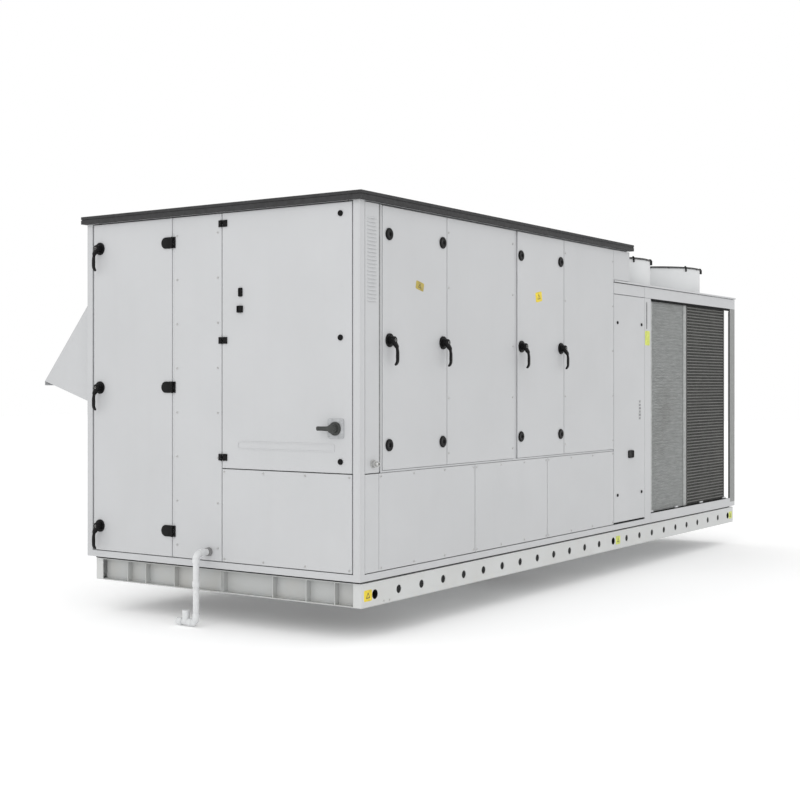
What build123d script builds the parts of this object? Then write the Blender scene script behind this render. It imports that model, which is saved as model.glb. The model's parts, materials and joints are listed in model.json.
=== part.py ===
from build123d import *
import math
import os

# Packaged rooftop air-conditioning unit: an insulated air-handling casing and a condenser section on
# one steel base. All sizes are in millimetres.
#
# Limits are given as (low, high) pairs along three directions:
#   s runs along the unit from the outer face of its end wall (row +X),
#   t runs across it from the outer face of its front wall (row +Y),
#   z runs up from the underside of the base (row +Z).
# The row's origin is on the underside of the base, under the centre of its middle cross beam.
origin_s = 3040.0
origin_t = 1100.0

# ---- driving dimensions ------------------------------------------------------------------------
case_length = 3405.0          # air-handling casing, up to the condenser section
case_width = 2245.0
overhang_length = 295.0       # the casing's top reaches over the condenser deck by this much
unit_length = 6080.0
case_top = 2365.0
roof_height = 50.0
roof_overhang = 30.0

base_s = (30.0, 6050.0)
base_t = (10.0, 2190.0)
base_height = 141.0
rail_wall = 6.0
rail_flange = 60.0
deck_height = 13.0            # floor deck between the base and the casing
hole_pitch = 250.0
hole_count = 24
first_hole_s = 165.0
hole_z = 68.0
hole_radius = 25.0
sleeve_wall = 3.5
lifting_holes = (0, 13, 23)
beam_width = 80.0

skin = 1.2                    # sheet thickness of the double-skin panels
panel = 45.0                  # panel thickness
post = 50.0                   # depth of the posts and rails behind the panels
tube_wall = 2.0
edge_radius = 3.0
rail_top = 195.0              # top of the casing's bottom rail
door_z = (790.0, 2355.0)
lower_z = (200.0, 774.0)
tall_z = (200.0, 2357.0)
door_a_s = (232.0, 942.0)
door_b_s = (1863.0, 2553.0)
control_door_t = (57.0, 1050.0)
middle_panel_t = (1056.0, 1454.0)
end_door_t = (1476.0, 2184.0)

condenser_top = 2100.0
deck_top = 2118.0
fan_s = (4227.0, 5350.0)
fan_t = (545.0, 1700.0)
shroud_radius = 450.0
shroud_top = 2350.0
orifice_radius = 404.0
tip_radius = 394.0
hub_radius = 85.0
coil_z = (231.0, 2008.0)
coil_depth = 50.0
coil_a_s = (4121.0, 4918.0)
coil_b_s = (4919.0, 5843.0)

hood_s = (100.0, 1300.0)
hood_depth = 533.0
hood_z = (1152.0, 1962.0)
hood_lip_z = 1322.0
damper_s = (180.0, 985.0)
damper_z = (1190.0, 1892.0)
blade_count = 3

shaft_radius = 12.0
running_gap = 0.06            # radial clearance of a shaft or pin that turns
part_gap = 0.5                # clearance between faces that slide past each other

floor_z = (base_height, base_height + deck_height)
condenser_s = (case_length, unit_length)
overhang_s = (case_length, case_length + overhang_length)
centre_t = case_width / 2
inside_t = (panel + post + 7, case_width - panel - post - 7)
return_s = (310.0, 940.0)
return_t = ((210.0, 1085.0), (1230.0, 2035.0))
supply_s = (2470.0, 2985.0)
supply_t = (300.0, 1945.0)


# ---- shapes that many pieces share ---------------------------------------------------------------
def place(s, t, z):
    """The row position of a point given along, across and up."""
    return (s - origin_s, t - origin_t, z)


def block(s, t, z):
    """A box between limits along, across and up."""
    limits = (s, t, z)
    size = [high - low for low, high in limits]
    centre = [(low + high) / 2 for low, high in limits]
    return Pos(*place(*centre)) * Box(*size)


def inset(limits, wall):
    return (limits[0] + wall, limits[1] - wall)


def hollow(s, t, z, wall=tube_wall):
    """A closed sheet-metal box, as a post, rail or foam-filled panel is."""
    return block(s, t, z) - block(inset(s, wall), inset(t, wall), inset(z, wall))


def door_leaf(s, t, z):
    """A double-skin panel with softened edges; its foam core is left out."""
    shell = fillet(block(s, t, z).edges(), edge_radius)
    return shell - block(inset(s, skin), inset(t, skin), inset(z, skin))


def around(centre, width):
    return (centre - width / 2, centre + width / 2)


def mirror_t(limits):
    """The same limits on the back of the unit."""
    return (case_width - limits[1], case_width - limits[0])


def rod(start, direction, length, radius):
    """A round bar from a start point along a row direction."""
    plane = Plane(origin=place(*start), z_dir=direction)
    return extrude(plane * Circle(radius), amount=length)


def tube(start, direction, length, outer, inner):
    plane = Plane(origin=place(*start), z_dir=direction)
    return extrude(plane * (Circle(outer) - Circle(inner)), amount=length)


def pipe_run(points, bend, radius):
    """A bent pipe through points given along, across and up."""
    path = FilletPolyline(*[place(*point) for point in points], radius=bend)
    return sweep(path.location_at(0) * Circle(radius), path=path)


def front_face(s, z):
    """Local axes on the front wall: X along the unit, Y up, Z outwards."""
    return Plane(origin=place(s, 0, z), x_dir=(1, 0, 0), z_dir=(0, -1, 0))


def back_face(s, z):
    """Plane on the back side: X runs towards the end wall, Y up, Z outwards."""
    return Plane(origin=place(s, case_width, z), x_dir=(-1, 0, 0), z_dir=(0, 1, 0))


def end_face(t, z):
    """Local axes on the end wall: X towards the front, Y up, Z outwards."""
    return Plane(origin=place(0, t, z), x_dir=(0, -1, 0), z_dir=(-1, 0, 0))


def on_plane(plane, shape):
    return plane.location * shape


def save(node, solids):
    shape = solids[0] if len(solids) == 1 else Compound(solids)
    export_step(shape, f"parts/{node}.step")


# ---- base ------------------------------------------------------------------------------------------
def hole_s(index):
    return first_hole_s + index * hole_pitch


def base_side_rails():
    sleeve_radius = hole_radius + sleeve_wall
    rails = []
    for t, inner_t in (
        (base_t, (base_t[0] + rail_wall, base_t[0] + rail_flange)),
        (base_t, (base_t[1] - rail_flange, base_t[1] - rail_wall)),
    ):
        front = inner_t[0] < centre_t
        outer = (t[0], t[0] + rail_flange) if front else (t[1] - rail_flange, t[1])
        reach = (inner_t[0], inner_t[1] + 1) if front else (inner_t[0] - 1, inner_t[1])
        rail = block(base_s, outer, (0, base_height))
        rail -= block(inset(base_s, rail_wall), reach, (rail_wall, base_height - rail_wall))
        web_t = t[0] - 1 if front else t[1] - rail_wall - 1
        for index in range(hole_count):
            radius = sleeve_radius if index in lifting_holes else hole_radius + 0.5
            rail -= rod((hole_s(index), web_t, hole_z), (0, 1, 0), rail_wall + 2, radius)
        rails.append(rail)
    return rails


def lifting_sleeves():
    length = base_t[1] - base_t[0]
    return [
        tube((hole_s(i), base_t[0], hole_z), (0, 1, 0), length, hole_radius + sleeve_wall, hole_radius)
        for i in lifting_holes
    ]


def rail_hole_plugs():
    recess, thickness = 4.0, 8.0
    plugs = []
    for index in range(hole_count):
        if index in lifting_holes:
            continue
        for t in (base_t[0] + recess, base_t[1] - recess - thickness):
            plugs.append(rod((hole_s(index), t, hole_z), (0, 1, 0), thickness, hole_radius + 0.5))
    return plugs


def base_cross_members():
    between = (base_t[0] + rail_flange, base_t[1] - rail_flange)
    beams = [
        hollow(around(s, beam_width), between, (0, base_height), 4.0)
        for s in (262.0, 1040.0, 1560.0, 2080.0, origin_s, 3760.0, 4480.0, 5200.0, 5690.0)
    ]
    end_web_depth, plate = 40.0, 6.0
    ribs_t = (205.0, 416.0, 673.0, 1072.0, 1086.0, 1484.0, 1736.0, 1899.0)
    for end_s, outward in ((base_s[0], -1), (base_s[1], 1)):
        web_s = end_s - outward * end_web_depth
        lip_s = tuple(sorted((web_s, end_s)))
        web = block(around(web_s - outward * plate / 2, plate), between, (0, base_height))
        web += block(lip_s, between, (0, plate))
        web += block(lip_s, between, (base_height - plate, base_height))
        for t in ribs_t:
            web += block(lip_s, around(t, plate), (0, base_height))
        beams.append(web)
    return beams


def floor_deck():
    """Deck plates laid around the return and supply openings."""
    full = (40.0, case_width - 40.0)
    spans = (
        ((40.0, return_s[0]), full),
        (return_s, (full[0], return_t[0][0])),
        (return_s, (return_t[0][1], return_t[1][0])),
        (return_s, (return_t[1][1], full[1])),
        ((return_s[1], supply_s[0]), full),
        (supply_s, (full[0], supply_t[0])),
        (supply_s, (supply_t[1], full[1])),
        ((supply_s[1], unit_length - 40.0), full),
    )
    return [hollow(s, t, floor_z) for s, t in spans]


# ---- air-handling casing -----------------------------------------------------------------------
frame_depth = (panel + 2, panel + 2 + post)
mid_rail_z = (755.0, 812.0)
top_rail_z = (2300.0, case_top)


def casing_frame():
    """Posts and rails behind the panels, with the narrow strips that show between them."""
    members = []
    corner = 48.0
    bottom_z = (floor_z[1], rail_top)
    end_t, far_t = (0, corner), (case_width - corner, case_width)
    for t in (end_t, far_t):
        members.append(hollow((0, corner), t, (bottom_z[0], case_top)))
        members.append(hollow((corner, coil_a_s[0] - 2), t, bottom_z))
    members.append(hollow((0, corner), (corner, case_width - corner), bottom_z))

    front_posts_s = ((190.0, 250.0), (915.0, 975.0), (1800.0, 1870.0), (2525.0, 2590.0), (3340.0, 3400.0))
    back_posts_s = ((100.0, 150.0), (1475.0, 1535.0), (2420.0, 2485.0), (3340.0, 3400.0))
    for depth, posts_s in ((frame_depth, front_posts_s), (mirror_t(frame_depth), back_posts_s)):
        for s in posts_s:
            members.append(hollow(s, depth, (rail_top, case_top)))
        for before, after in zip(posts_s, posts_s[1:]):
            gap = (before[1], after[0])
            members.append(hollow(gap, depth, top_rail_z))
            if depth == frame_depth:
                members.append(hollow(gap, depth, mid_rail_z))

    end_posts_t = ((50.0, 100.0), (1030.0, 1080.0), (1440.0, 1478.0), (2186.0, 2196.0))
    for t in end_posts_t:
        members.append(hollow(frame_depth, t, (rail_top, case_top)))
    for before, after in zip(end_posts_t, end_posts_t[1:]):
        members.append(hollow(frame_depth, (before[1], after[0]), top_rail_z))
    members.append(hollow(frame_depth, (100.0, 1030.0), mid_rail_z))

    strip_t, groove_t = (5.0, frame_depth[0]), (11.0, frame_depth[0])
    upper_z = (787.5, tall_z[1])
    members.append(hollow((212.0, 228.0), strip_t, upper_z))
    members.append(hollow((1812.0, 1857.0), groove_t, upper_z))
    members.append(hollow((212.0, case_length - 5), strip_t, (776.5, upper_z[0])))
    members.append(hollow((5.0, frame_depth[0]), (1457.0, 1473.0), tall_z))
    return members


def front_panels():
    depth = (0, panel)
    panels = [
        door_leaf((948.0, 1806.0), depth, door_z),
        door_leaf((2560.0, case_length - 3), depth, door_z),
        door_leaf((52.0, 191.0), depth, lower_z),
        door_leaf(inset((191.0, 1290.0), 3.0), depth, lower_z),
        door_leaf(inset((1290.0, 2296.0), 3.0), depth, lower_z),
        door_leaf(inset((2296.0, case_length), 3.0), depth, lower_z),
        door_leaf(inset(overhang_s, 1.0), depth, (deck_top + 3, 2357.0)),
    ]
    return panels


def louvre_panel():
    """The corner panel that ventilates the control cabinet, a folded tray with a row of slots."""
    s, z = (52.0, 191.0), (780.0, 2357.0)
    slot_s, slot_height, slot_pitch, slot_count, lowest = (72.0, 168.0), 9.0, 22.0, 23, 1786.0
    tray = block(s, (0, panel), z) - block(inset(s, 2.0), (2.0, panel + 1), inset(z, 2.0))
    for index in range(slot_count):
        tray -= block(slot_s, (-1, 3), around(lowest + index * slot_pitch, slot_height))
    return tray


def end_panels():
    lower = door_leaf((0, panel), control_door_t, lower_z)
    middle = door_leaf((0, panel), middle_panel_t, tall_z)
    collar_start = (0.2, drain_t, drain_z)
    middle += rod(collar_start, (1, 0, 0), panel - 0.4, drain_radius + 6)
    middle -= rod((-1, drain_t, drain_z), (1, 0, 0), panel + 2, drain_radius + 0.2)
    return [lower, middle]


def back_panels():
    depth = mirror_t((0, panel))
    opening_s, opening_z = (damper_s[0] - 20, damper_s[1] + 20), (damper_z[0] - 20, damper_z[1] + 20)
    panels = [
        door_leaf((52.0, 1500.0), depth, (200.0, opening_z[0] - 1)),
        door_leaf((52.0, 1500.0), depth, (opening_z[1] + 1, 2357.0)),
        door_leaf((52.0, opening_s[0] - 1), depth, opening_z),
        door_leaf((opening_s[1] + 1, 1500.0), depth, opening_z),
        door_leaf(inset(overhang_s, 1.0), depth, (deck_top + 3, 2357.0)),
    ]
    for s in ((1506.0, 2450.0), (2456.0, case_length - 3)):
        panels.append(door_leaf(s, depth, tall_z))
    return panels


def inner_bulkheads():
    """Walls inside the casing: control cabinet, filter sills, fan wall, condenser wall, overhang."""
    inner_z = (rail_top + 10, top_rail_z[0] - 5)
    walls = [
        hollow((240.0, 262.0), (inside_t[0], 1080.0), inner_z),
        hollow((98.0, 240.0), (1082.0, 1104.0), (820.0, inner_z[1])),
    ]
    sill_z = (floor_z[1] + 6, 286.0)
    for t in ((inside_t[0], drain_t - 30), (drain_t + 30, inside_t[1])):
        walls.append(hollow((1005.0, 1060.0), t, sill_z))
    fan_wall = block((1876.0, 1896.0), inside_t, inner_z)
    fan_wall -= block((1876.0 + skin, 1896.0 - skin), inset(inside_t, skin), inset(inner_z, skin))
    for t in supply_fan_t:
        fan_wall += rod((1876.0, t, supply_fan_z), (1, 0, 0), 20.0, inlet_radius + 12)
        fan_wall -= rod((1870.0, t, supply_fan_z), (1, 0, 0), 30.0, inlet_radius)
    walls.append(fan_wall)
    wall_s = (case_length - panel + 43, case_length + 41)
    walls.append(hollow(wall_s, (50.0, case_width - 50.0), (rail_top + 4, condenser_top)))
    far_s = (overhang_s[1] - 46, overhang_s[1] - 1)
    walls.append(hollow(far_s, (panel + 1, case_width - panel - 1), (deck_top + 3, case_top)))
    return walls


def roof_panel():
    s = (2.0, overhang_s[1] - 2)
    return [hollow(s, (2.0, case_width - 2), (case_top, case_top + roof_height - 8), skin)]


def roof_trim():
    """A dark edge channel all round the roof, with a groove half-way up."""
    s = (-roof_overhang, overhang_s[1] + 18)
    t = (-roof_overhang, case_width + roof_overhang)
    z = (case_top + 1, case_top + roof_height)
    groove_z, groove_depth = around(sum(z) / 2 + 4, 5.0), 4.0
    groove = block(inset(s, -1.0), inset(t, -1.0), groove_z)
    groove -= block(inset(s, groove_depth), inset(t, groove_depth), groove_z)
    ring = block(s, t, z) - groove
    return [ring - block((0, overhang_s[1]), (0, case_width), inset(z, -1.0))]


# ---- drain ---------------------------------------------------------------------------------------
drain_t = 1157.0
drain_z = 255.0
drain_radius = 20.0
drain_reach = 120.0
drain_bottom = -172.0
pan_s = (1200.0, 1520.0)


def drain_pipe():
    """The run inside the base of the casing, the elbow and drop outside it, and the trap's outlet."""
    bend, collar_length, split_z = 36.0, 24.0, 85.0
    outlet_t = drain_t + 152.0
    riser_t = drain_t + 84.0
    socket_radius = 24.0
    inner = rod((pan_s[0], drain_t, drain_z), (-1, 0, 0), pan_s[0] + collar_length, drain_radius)
    inner += rod((-1.0, drain_t, drain_z), (-1, 0, 0), collar_length - 1, 27.0)
    elbow = [
        (-collar_length, drain_t, drain_z),
        (-drain_reach, drain_t, drain_z),
        (-drain_reach, drain_t, split_z),
    ]
    drop = pipe_run(elbow, bend, drain_radius)
    outlet = [
        (-drain_reach, drain_t, split_z),
        (-drain_reach, drain_t, drain_bottom),
        (-drain_reach, outlet_t - 10, drain_bottom),
    ]
    trap = pipe_run(outlet, bend, drain_radius)
    trap += rod((-drain_reach, drain_t, split_z - 36), (0, 0, 1), 36.0, socket_radius)
    trap += rod((-drain_reach, riser_t, drain_bottom), (0, 0, 1), 72.0, socket_radius)
    trap += rod((-drain_reach, outlet_t - 42, drain_bottom), (0, 1, 0), 42.0, socket_radius)
    trap -= rod((-drain_reach, outlet_t - 30, drain_bottom), (0, 1, 0), 31.0, 20.2)
    return [inner, drop, trap]


def drain_pan():
    outer_t, z = (120.0, 2125.0), (220.0, 320.0)
    pan = block(pan_s, outer_t, z) - block(inset(pan_s, 2.0), inset(outer_t, 2.0), (z[0] + 2, z[1] + 1))
    feet_z = (floor_z[1], z[0])
    feet = [hollow(inset(pan_s, 40.0), around(t, 60.0), feet_z) for t in (300.0, 1122.0, 1945.0)]
    return [pan] + feet


# ---- air path inside the casing --------------------------------------------------------------------
supply_fan_t = (640.0, 1605.0)
supply_fan_z = 1350.0
inlet_radius = 215.0
wheel_radius = 290.0
wheel_s = (1975.0, 2170.0)
blade_total = 7


def filter_cells():
    """A bank of square filter cells in four columns and four rows."""
    columns, rows = 4, 4
    bank_z = (290.0, 2290.0)
    width = (inside_t[1] - inside_t[0]) / columns
    height = (bank_z[1] - bank_z[0]) / rows
    cells = []
    for column in range(columns):
        for row in range(rows):
            t = (inside_t[0] + column * width, inside_t[0] + (column + 1) * width)
            z = (bank_z[0] + row * height, bank_z[0] + (row + 1) * height)
            cells.append(hollow((1008.0, 1056.0), inset(t, 2.0), inset(z, 2.0), 6.0))
    return cells


def evaporator_coil():
    s, t, z = (1290.0, 1430.0), (150.0, 2100.0), (230.0, 2255.0)
    tube_sheet, header_gap, header_radius = 20.0, 24.0, 18.0
    core = hollow(inset(s, 6.0), inset(t, tube_sheet), inset(z, 10.0), 8.0)
    core += block(s, (t[0], t[0] + tube_sheet), z)
    core += block(s, (t[1] - tube_sheet, t[1]), z)
    header_z = (z[0] + 110, z[1] - 60)
    header_start = (s[0] + 30, t[0] - header_gap, header_z[0])
    core += rod(header_start, (0, 0, 1), header_z[1] - header_z[0], header_radius)
    for stub_z in (header_z[0] + 30, header_z[1] - 30):
        core += rod((s[0] + 30, t[0] - header_gap, stub_z), (0, 1, 0), header_gap, 8.0)
    return [core]


def supply_fan_mounts():
    """Per fan: inlet cone, motor stator with its shaft, and the bracket that carries it."""
    solids = []
    cone_length = 95.0
    for t in supply_fan_t:
        cone = Plane(origin=place(1896.0, t, supply_fan_z), z_dir=(1, 0, 0))
        outer = Cone(inlet_radius + 10, 176.0, cone_length) - Cone(inlet_radius + 6, 172.0, cone_length)
        solids.append(on_plane(cone, Pos(0, 0, cone_length / 2) * outer))
        stator = rod((2300.0, t, supply_fan_z), (1, 0, 0), 110.0, 105.0)
        stator += rod((2100.0, t, supply_fan_z), (1, 0, 0), 200.0, shaft_radius)
        stator += hollow((2410.0, 2450.0), around(t, 90.0), (floor_z[1], 2290.0), 4.0)
        solids.append(stator)
    return solids


def supply_fan_wheel(t):
    """A backward-curved plug fan wheel that turns on the motor shaft."""
    back = rod((wheel_s[1] - 6, t, supply_fan_z), (1, 0, 0), 6.0, wheel_radius)
    hub = rod((wheel_s[1] - 40, t, supply_fan_z), (1, 0, 0), 165.0, 88.0)
    ring = tube((wheel_s[0], t, supply_fan_z), (1, 0, 0), 4.0, wheel_radius, 200.0)
    wheel = back + hub + ring
    plane = Plane(origin=place(wheel_s[0] + 2, t, supply_fan_z), z_dir=(1, 0, 0))
    vane_length, vane_thickness, vane_angle, vane_centre = 130.0, 4.0, 38.0, 232.0
    vane_width = wheel_s[1] - wheel_s[0] - 4
    vane = Rot(0, 0, vane_angle) * Box(vane_length, vane_thickness, vane_width)
    vane = Pos(vane_centre, 0, vane_width / 2) * vane
    for index in range(blade_total):
        wheel += on_plane(plane, Rot(0, 0, index * 360 / blade_total) * vane)
    wheel -= rod((2050.0, t, supply_fan_z), (1, 0, 0), 300.0, shaft_radius + running_gap)
    return [wheel]


def control_switchgear():
    """Backplate with rows of rail-mounted devices, a transformer and wiring ducts."""
    plate_s = (228.0, 232.0)
    plate = block(plate_s, (125.0, 1025.0), (840.0, 2260.0))
    pieces = [plate]
    duct_s = (168.0, plate_s[0])
    for z in (900.0, 1200.0, 1500.0, 1800.0, 2100.0):
        pieces.append(hollow(duct_s, (150.0, 1000.0), around(z, 50.0)))
    device_s = (140.0, plate_s[0])
    rows = ((1050.0, 90.0, 22.0), (1350.0, 54.0, 8.0), (1650.0, 72.0, 10.0), (1950.0, 36.0, 4.0))
    for row_z, width, gap in rows:
        count = int(820.0 // (width + gap))
        for index in range(count):
            start = 160.0 + index * (width + gap)
            pieces.append(block(device_s, (start, start + width), around(row_z, 110.0)))
    return pieces


# ---- fresh-air damper and hood -----------------------------------------------------------------------
damper_t = case_width - 40.0
blade_pitch = (damper_z[1] - damper_z[0]) / blade_count


def blade_z(index):
    return damper_z[0] + (index + 0.5) * blade_pitch


def damper_frame():
    """A rectangular frame in the wall opening, and the actuator that turns the blades."""
    outer_s, outer_z, depth = inset(damper_s, -19.0), inset(damper_z, -19.0), around(damper_t, 60.0)
    side = 17.0
    pieces = []
    for s in ((outer_s[0], outer_s[0] + side), (outer_s[1] - side, outer_s[1])):
        jamb = block(s, depth, inset(outer_z, side))
        for index in range(blade_count):
            start = (s[0] - 1, damper_t, blade_z(index))
            jamb -= rod(start, (1, 0, 0), side + 2, 8.0 + running_gap)
        pieces.append(jamb)
    for z in ((outer_z[0], outer_z[0] + side), (outer_z[1] - side, outer_z[1])):
        pieces.append(block(outer_s, depth, z))
    return pieces


def damper_actuator():
    s = (damper_s[0] - 79, damper_s[0] - 23)
    return [block(s, (damper_t - 165, damper_t - 65), around(blade_z(1), 160.0))]


def damper_blade(index):
    """One flat blade with a stiffened middle, on stub shafts at both ends."""
    z = blade_z(index)
    blade = block(inset(damper_s, 3.0), around(damper_t, 3.0), around(z, blade_pitch - 3))
    shaft = rod((damper_s[0] - 14, damper_t, z), (1, 0, 0), damper_s[1] - damper_s[0] + 28, 8.0)
    return [blade + shaft]


def hood_shell():
    """A weather hood: sloping top, two triangular cheeks, open underneath."""
    wall = 2.0
    lip = 30.0
    profile = [
        (case_width, hood_z[1]),
        (case_width + hood_depth, hood_lip_z),
        (case_width, hood_z[0]),
    ]

    def prism(points, s):
        plane = Plane(origin=place(s[0], 0, 0), x_dir=(0, 1, 0), z_dir=(1, 0, 0))
        face = plane * make_face(Polyline(*points, close=True))
        return extrude(face, amount=s[1] - s[0])

    cheeks = [prism(profile, (s, s + wall)) for s in (hood_s[0], hood_s[1] - wall)]
    slope = math.hypot(hood_depth, hood_z[1] - hood_lip_z)
    down = ((hood_z[1] - hood_lip_z) / slope * wall, hood_depth / slope * wall)
    sheet = [
        (case_width, hood_z[1]),
        (case_width + hood_depth, hood_lip_z),
        (case_width + hood_depth, hood_lip_z - lip),
        (case_width + hood_depth - wall, hood_lip_z - lip),
        (case_width + hood_depth - wall, hood_lip_z - wall),
        (case_width, hood_z[1] - down[1] - wall),
    ]
    top = prism(sheet, hood_s)
    shell = top + cheeks[0] + cheeks[1]
    return [shell]


# ---- condenser section ---------------------------------------------------------------------------------
post_s = (3998.0, 4119.0)
far_post_s = (5950.0, 6072.0)


def condenser_frame():
    """Posts, beams, folded corner posts and the bottom rails of the condenser section."""
    pieces = []
    low_z = (floor_z[1], coil_z[0] - 1)
    for front in (True, False):
        side = (lambda limits: limits) if front else mirror_t
        pieces.append(hollow(post_s, side((0, 48.0)), (rail_top, 2008.0)))
        pieces.append(hollow((post_s[0], far_post_s[1]), side((0, 48.0)), (2010.0, condenser_top)))
        pieces.append(hollow((coil_a_s[0], far_post_s[0]), side((0, 48.0)), low_z))
        pieces.append(hollow((far_post_s[0], far_post_s[1]), side((0, 48.0)), (floor_z[1], rail_top)))
        leg = block(far_post_s, side((0, 4.0)), (rail_top, 2010.0))
        leg += block((far_post_s[1] - 4, far_post_s[1]), side((0, 44.0)), (rail_top, 2010.0))
        pieces.append(leg)
        pieces.append(hollow((case_length + 43, post_s[0]), side((50.0, 90.0)), (2010.0, condenser_top)))
        for s in (4149.0, 4677.0, 5249.0, 5817.0):
            pieces.append(block(around(s, 60.0), side((3.0, 16.5)), (coil_z[0], coil_z[0] + 20)))
    end_t = (48.0, case_width - 48.0)
    pieces.append(hollow((far_post_s[1] - 60, far_post_s[1]), end_t, (2010.0, condenser_top)))
    pieces.append(hollow((far_post_s[1] - 60, far_post_s[1]), end_t, (floor_z[1], rail_top)))
    return pieces


def condenser_panels():
    """Service panels beside the compressors and the inset panel that closes the far end."""
    s, z = (case_length + 4, post_s[0] - 2), (210.0, 2008.0)
    panels = [door_leaf(s, depth, z) for depth in ((0, 40.0), mirror_t((0, 40.0)))]
    gap_s = (coil_b_s[1] + 30, coil_b_s[1] + 55)
    panels.append(hollow(gap_s, (62.0, case_width - 62.0), (rail_top + 6, 2008.0), skin))
    strip_z = (2012.0, condenser_top)
    for depth in ((0, 40.0), mirror_t((0, 40.0))):
        panels.append(door_leaf(s, depth, strip_z))
    return panels


def fan_centres():
    return [(s, t) for s in fan_s for t in fan_t]


def fan_deck():
    s, t = (case_length + 2, unit_length), (-8.0, case_width + 8)
    z = (condenser_top + 4, deck_top)
    deck = fillet(block(s, t, z).edges().group_by(Axis.Z)[-1], edge_radius)
    deck -= block(inset(s, 2.0), inset(t, 2.0), (z[0] - 1, z[1] - 3))
    for fan in fan_centres():
        deck -= rod((*fan, z[0] - 2), (0, 0, 1), 60.0, orifice_radius)
    return [deck]


def fan_shrouds():
    """A plain outer cylinder with a rolled rim around the orifice ring that the blades turn in."""
    solids = []
    for fan in fan_centres():
        base = deck_top
        shroud = tube((*fan, base), (0, 0, 1), shroud_top - base, shroud_radius, shroud_radius - 4)
        shroud += tube((*fan, base), (0, 0, 1), 3.0, shroud_radius, orifice_radius)
        shroud += tube((*fan, base), (0, 0, 1), 130.0, orifice_radius + 4, orifice_radius)
        rim_edge = tube((*fan, shroud_top - 8), (0, 0, 1), 8.0, shroud_radius + 5, shroud_radius - 6)
        solids.append(shroud + rim_edge)
    return solids


def fan_guards():
    """Concentric wires on spokes, held on the rim by small clips."""
    ring_radii = [449.0 - 42.0 * index for index in range(10)]
    wire, height, spokes = 4.0, 4.0, 8
    solids = []
    for s, t in fan_centres():
        sketch = Circle(ring_radii[0]) - Circle(ring_radii[0] - wire)
        for radius in ring_radii[1:]:
            sketch += Circle(radius) - Circle(radius - wire)
        for index in range(spokes):
            mid = (ring_radii[0] + ring_radii[-1]) / 2 - wire / 2
            length = ring_radii[0] - ring_radii[-1]
            sketch += Rot(0, 0, index * 360 / spokes) * Pos(mid, 0) * Rectangle(length, 6.0)
        guard = Pos(*place(s, t, shroud_top + part_gap)) * extrude(sketch, amount=height)
        for index in range(spokes):
            clip = Pos(shroud_radius + 7.5, 0, -18.0) * Box(4.0, 22.0, 46.0)
            clip += Pos(shroud_radius + 1, 0, 2.5) * Box(17.0, 22.0, 5.0)
            turn = Rot(0, 0, (index + 0.5) * 360 / spokes)
            guard += Pos(*place(s, t, shroud_top + part_gap)) * turn * clip
        solids.append(guard)
    return solids


def fan_motors():
    """Motor, shaft and the two bars that hang it under the deck."""
    solids = []
    for s, t in fan_centres():
        motor = rod((s, t, 1988.0), (0, 0, 1), 120.0, 82.0)
        motor += rod((s, t, 2108.0), (0, 0, 1), 110.0, shaft_radius)
        for offset in (-60.0, 60.0):
            motor += block(around(s, 940.0), around(t + offset, 30.0), (2090.0, deck_top - 3))
        solids.append(motor)
    return solids


def fan_rotor(centre):
    """A five-bladed axial rotor; each blade is set at a pitch angle on the hub."""
    s, t = centre
    hub_z, hub_height, pitch_angle = 2128.0, 95.0, 26.0
    hub = rod((s, t, hub_z), (0, 0, 1), hub_height, hub_radius)
    inner, chord, thickness = hub_radius - 12, 190.0, 5.0
    reach = math.sqrt(tip_radius**2 - (chord / 2) ** 2)
    blade = Rot(pitch_angle, 0, 0) * Box(reach - inner, chord, thickness)
    blade = Pos((reach + inner) / 2, 0, 0) * blade
    centre_place = Pos(*place(s, t, hub_z + hub_height / 2))
    for index in range(5):
        hub += centre_place * Rot(0, 0, index * 72) * blade
    return [hub - rod((s, t, hub_z - 1), (0, 0, 1), 97.0, shaft_radius + running_gap)]


def condenser_coil(span, plate):
    """Finned coils on both sides: a core between two end plates."""
    solids = []
    for depth in ((17.0, 17.0 + coil_depth), mirror_t((17.0, 17.0 + coil_depth))):
        core_s = inset(span, plate)
        core = hollow(core_s, inset(depth, 2.0), coil_z, 12.0)
        core += block((span[0], core_s[0]), depth, coil_z)
        core += block((core_s[1], span[1]), depth, coil_z)
        solids.append(core)
    return solids


# ---- refrigerant circuit ---------------------------------------------------------------------------------
compressor_s = 3720.0
compressor_t = (420.0, 800.0, 1445.0, 1825.0)
compressor_radius = 118.0
foot_height = 30.0


def compressors():
    """Scroll compressors: upright shells with domed ends, foot plates, ports and terminal boxes."""
    shell_z = (floor_z[1] + foot_height + 12, floor_z[1] + foot_height + 470)
    dome_height = 60.0
    solids = []
    for t in compressor_t:
        s = compressor_s
        shell = rod((s, t, shell_z[0]), (0, 0, 1), shell_z[1] - shell_z[0], compressor_radius)
        dome_scale = dome_height / compressor_radius
        dome = scale(Sphere(compressor_radius), by=(1, 1, dome_scale))
        shell += Pos(*place(s, t, shell_z[1])) * dome
        shell += rod((s, t, shell_z[0] + 120), (0, 0, 1), 10.0, compressor_radius + 5)
        foot = Pos(*place(s, t, floor_z[1] + foot_height + 6)) * Box(270.0, 270.0, 12.0)
        shell += fillet(foot.edges().filter_by(Axis.Z), 40.0)
        shell += block((s + 100, s + 175), around(t, 110.0), (500.0, 620.0))
        shell += rod((s - 160, t, 330.0), (1, 0, 0), 80.0, 21.0)
        shell -= rod((s - 161, t, 330.0), (1, 0, 0), 30.0, suction_radius)
        shell += rod((s, t + 60, shell_z[1] + 20), (0, 0, 1), 70.0, 14.0)
        solids.append(shell)
    return solids


suction_radius = 17.5


def compressor_feet():
    feet = []
    for t in compressor_t:
        for ds in (-100.0, 100.0):
            for dt in (-100.0, 100.0):
                feet.append(rod((compressor_s + ds, t + dt, floor_z[1]), (0, 0, 1), foot_height, 20.0))
    return feet


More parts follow.
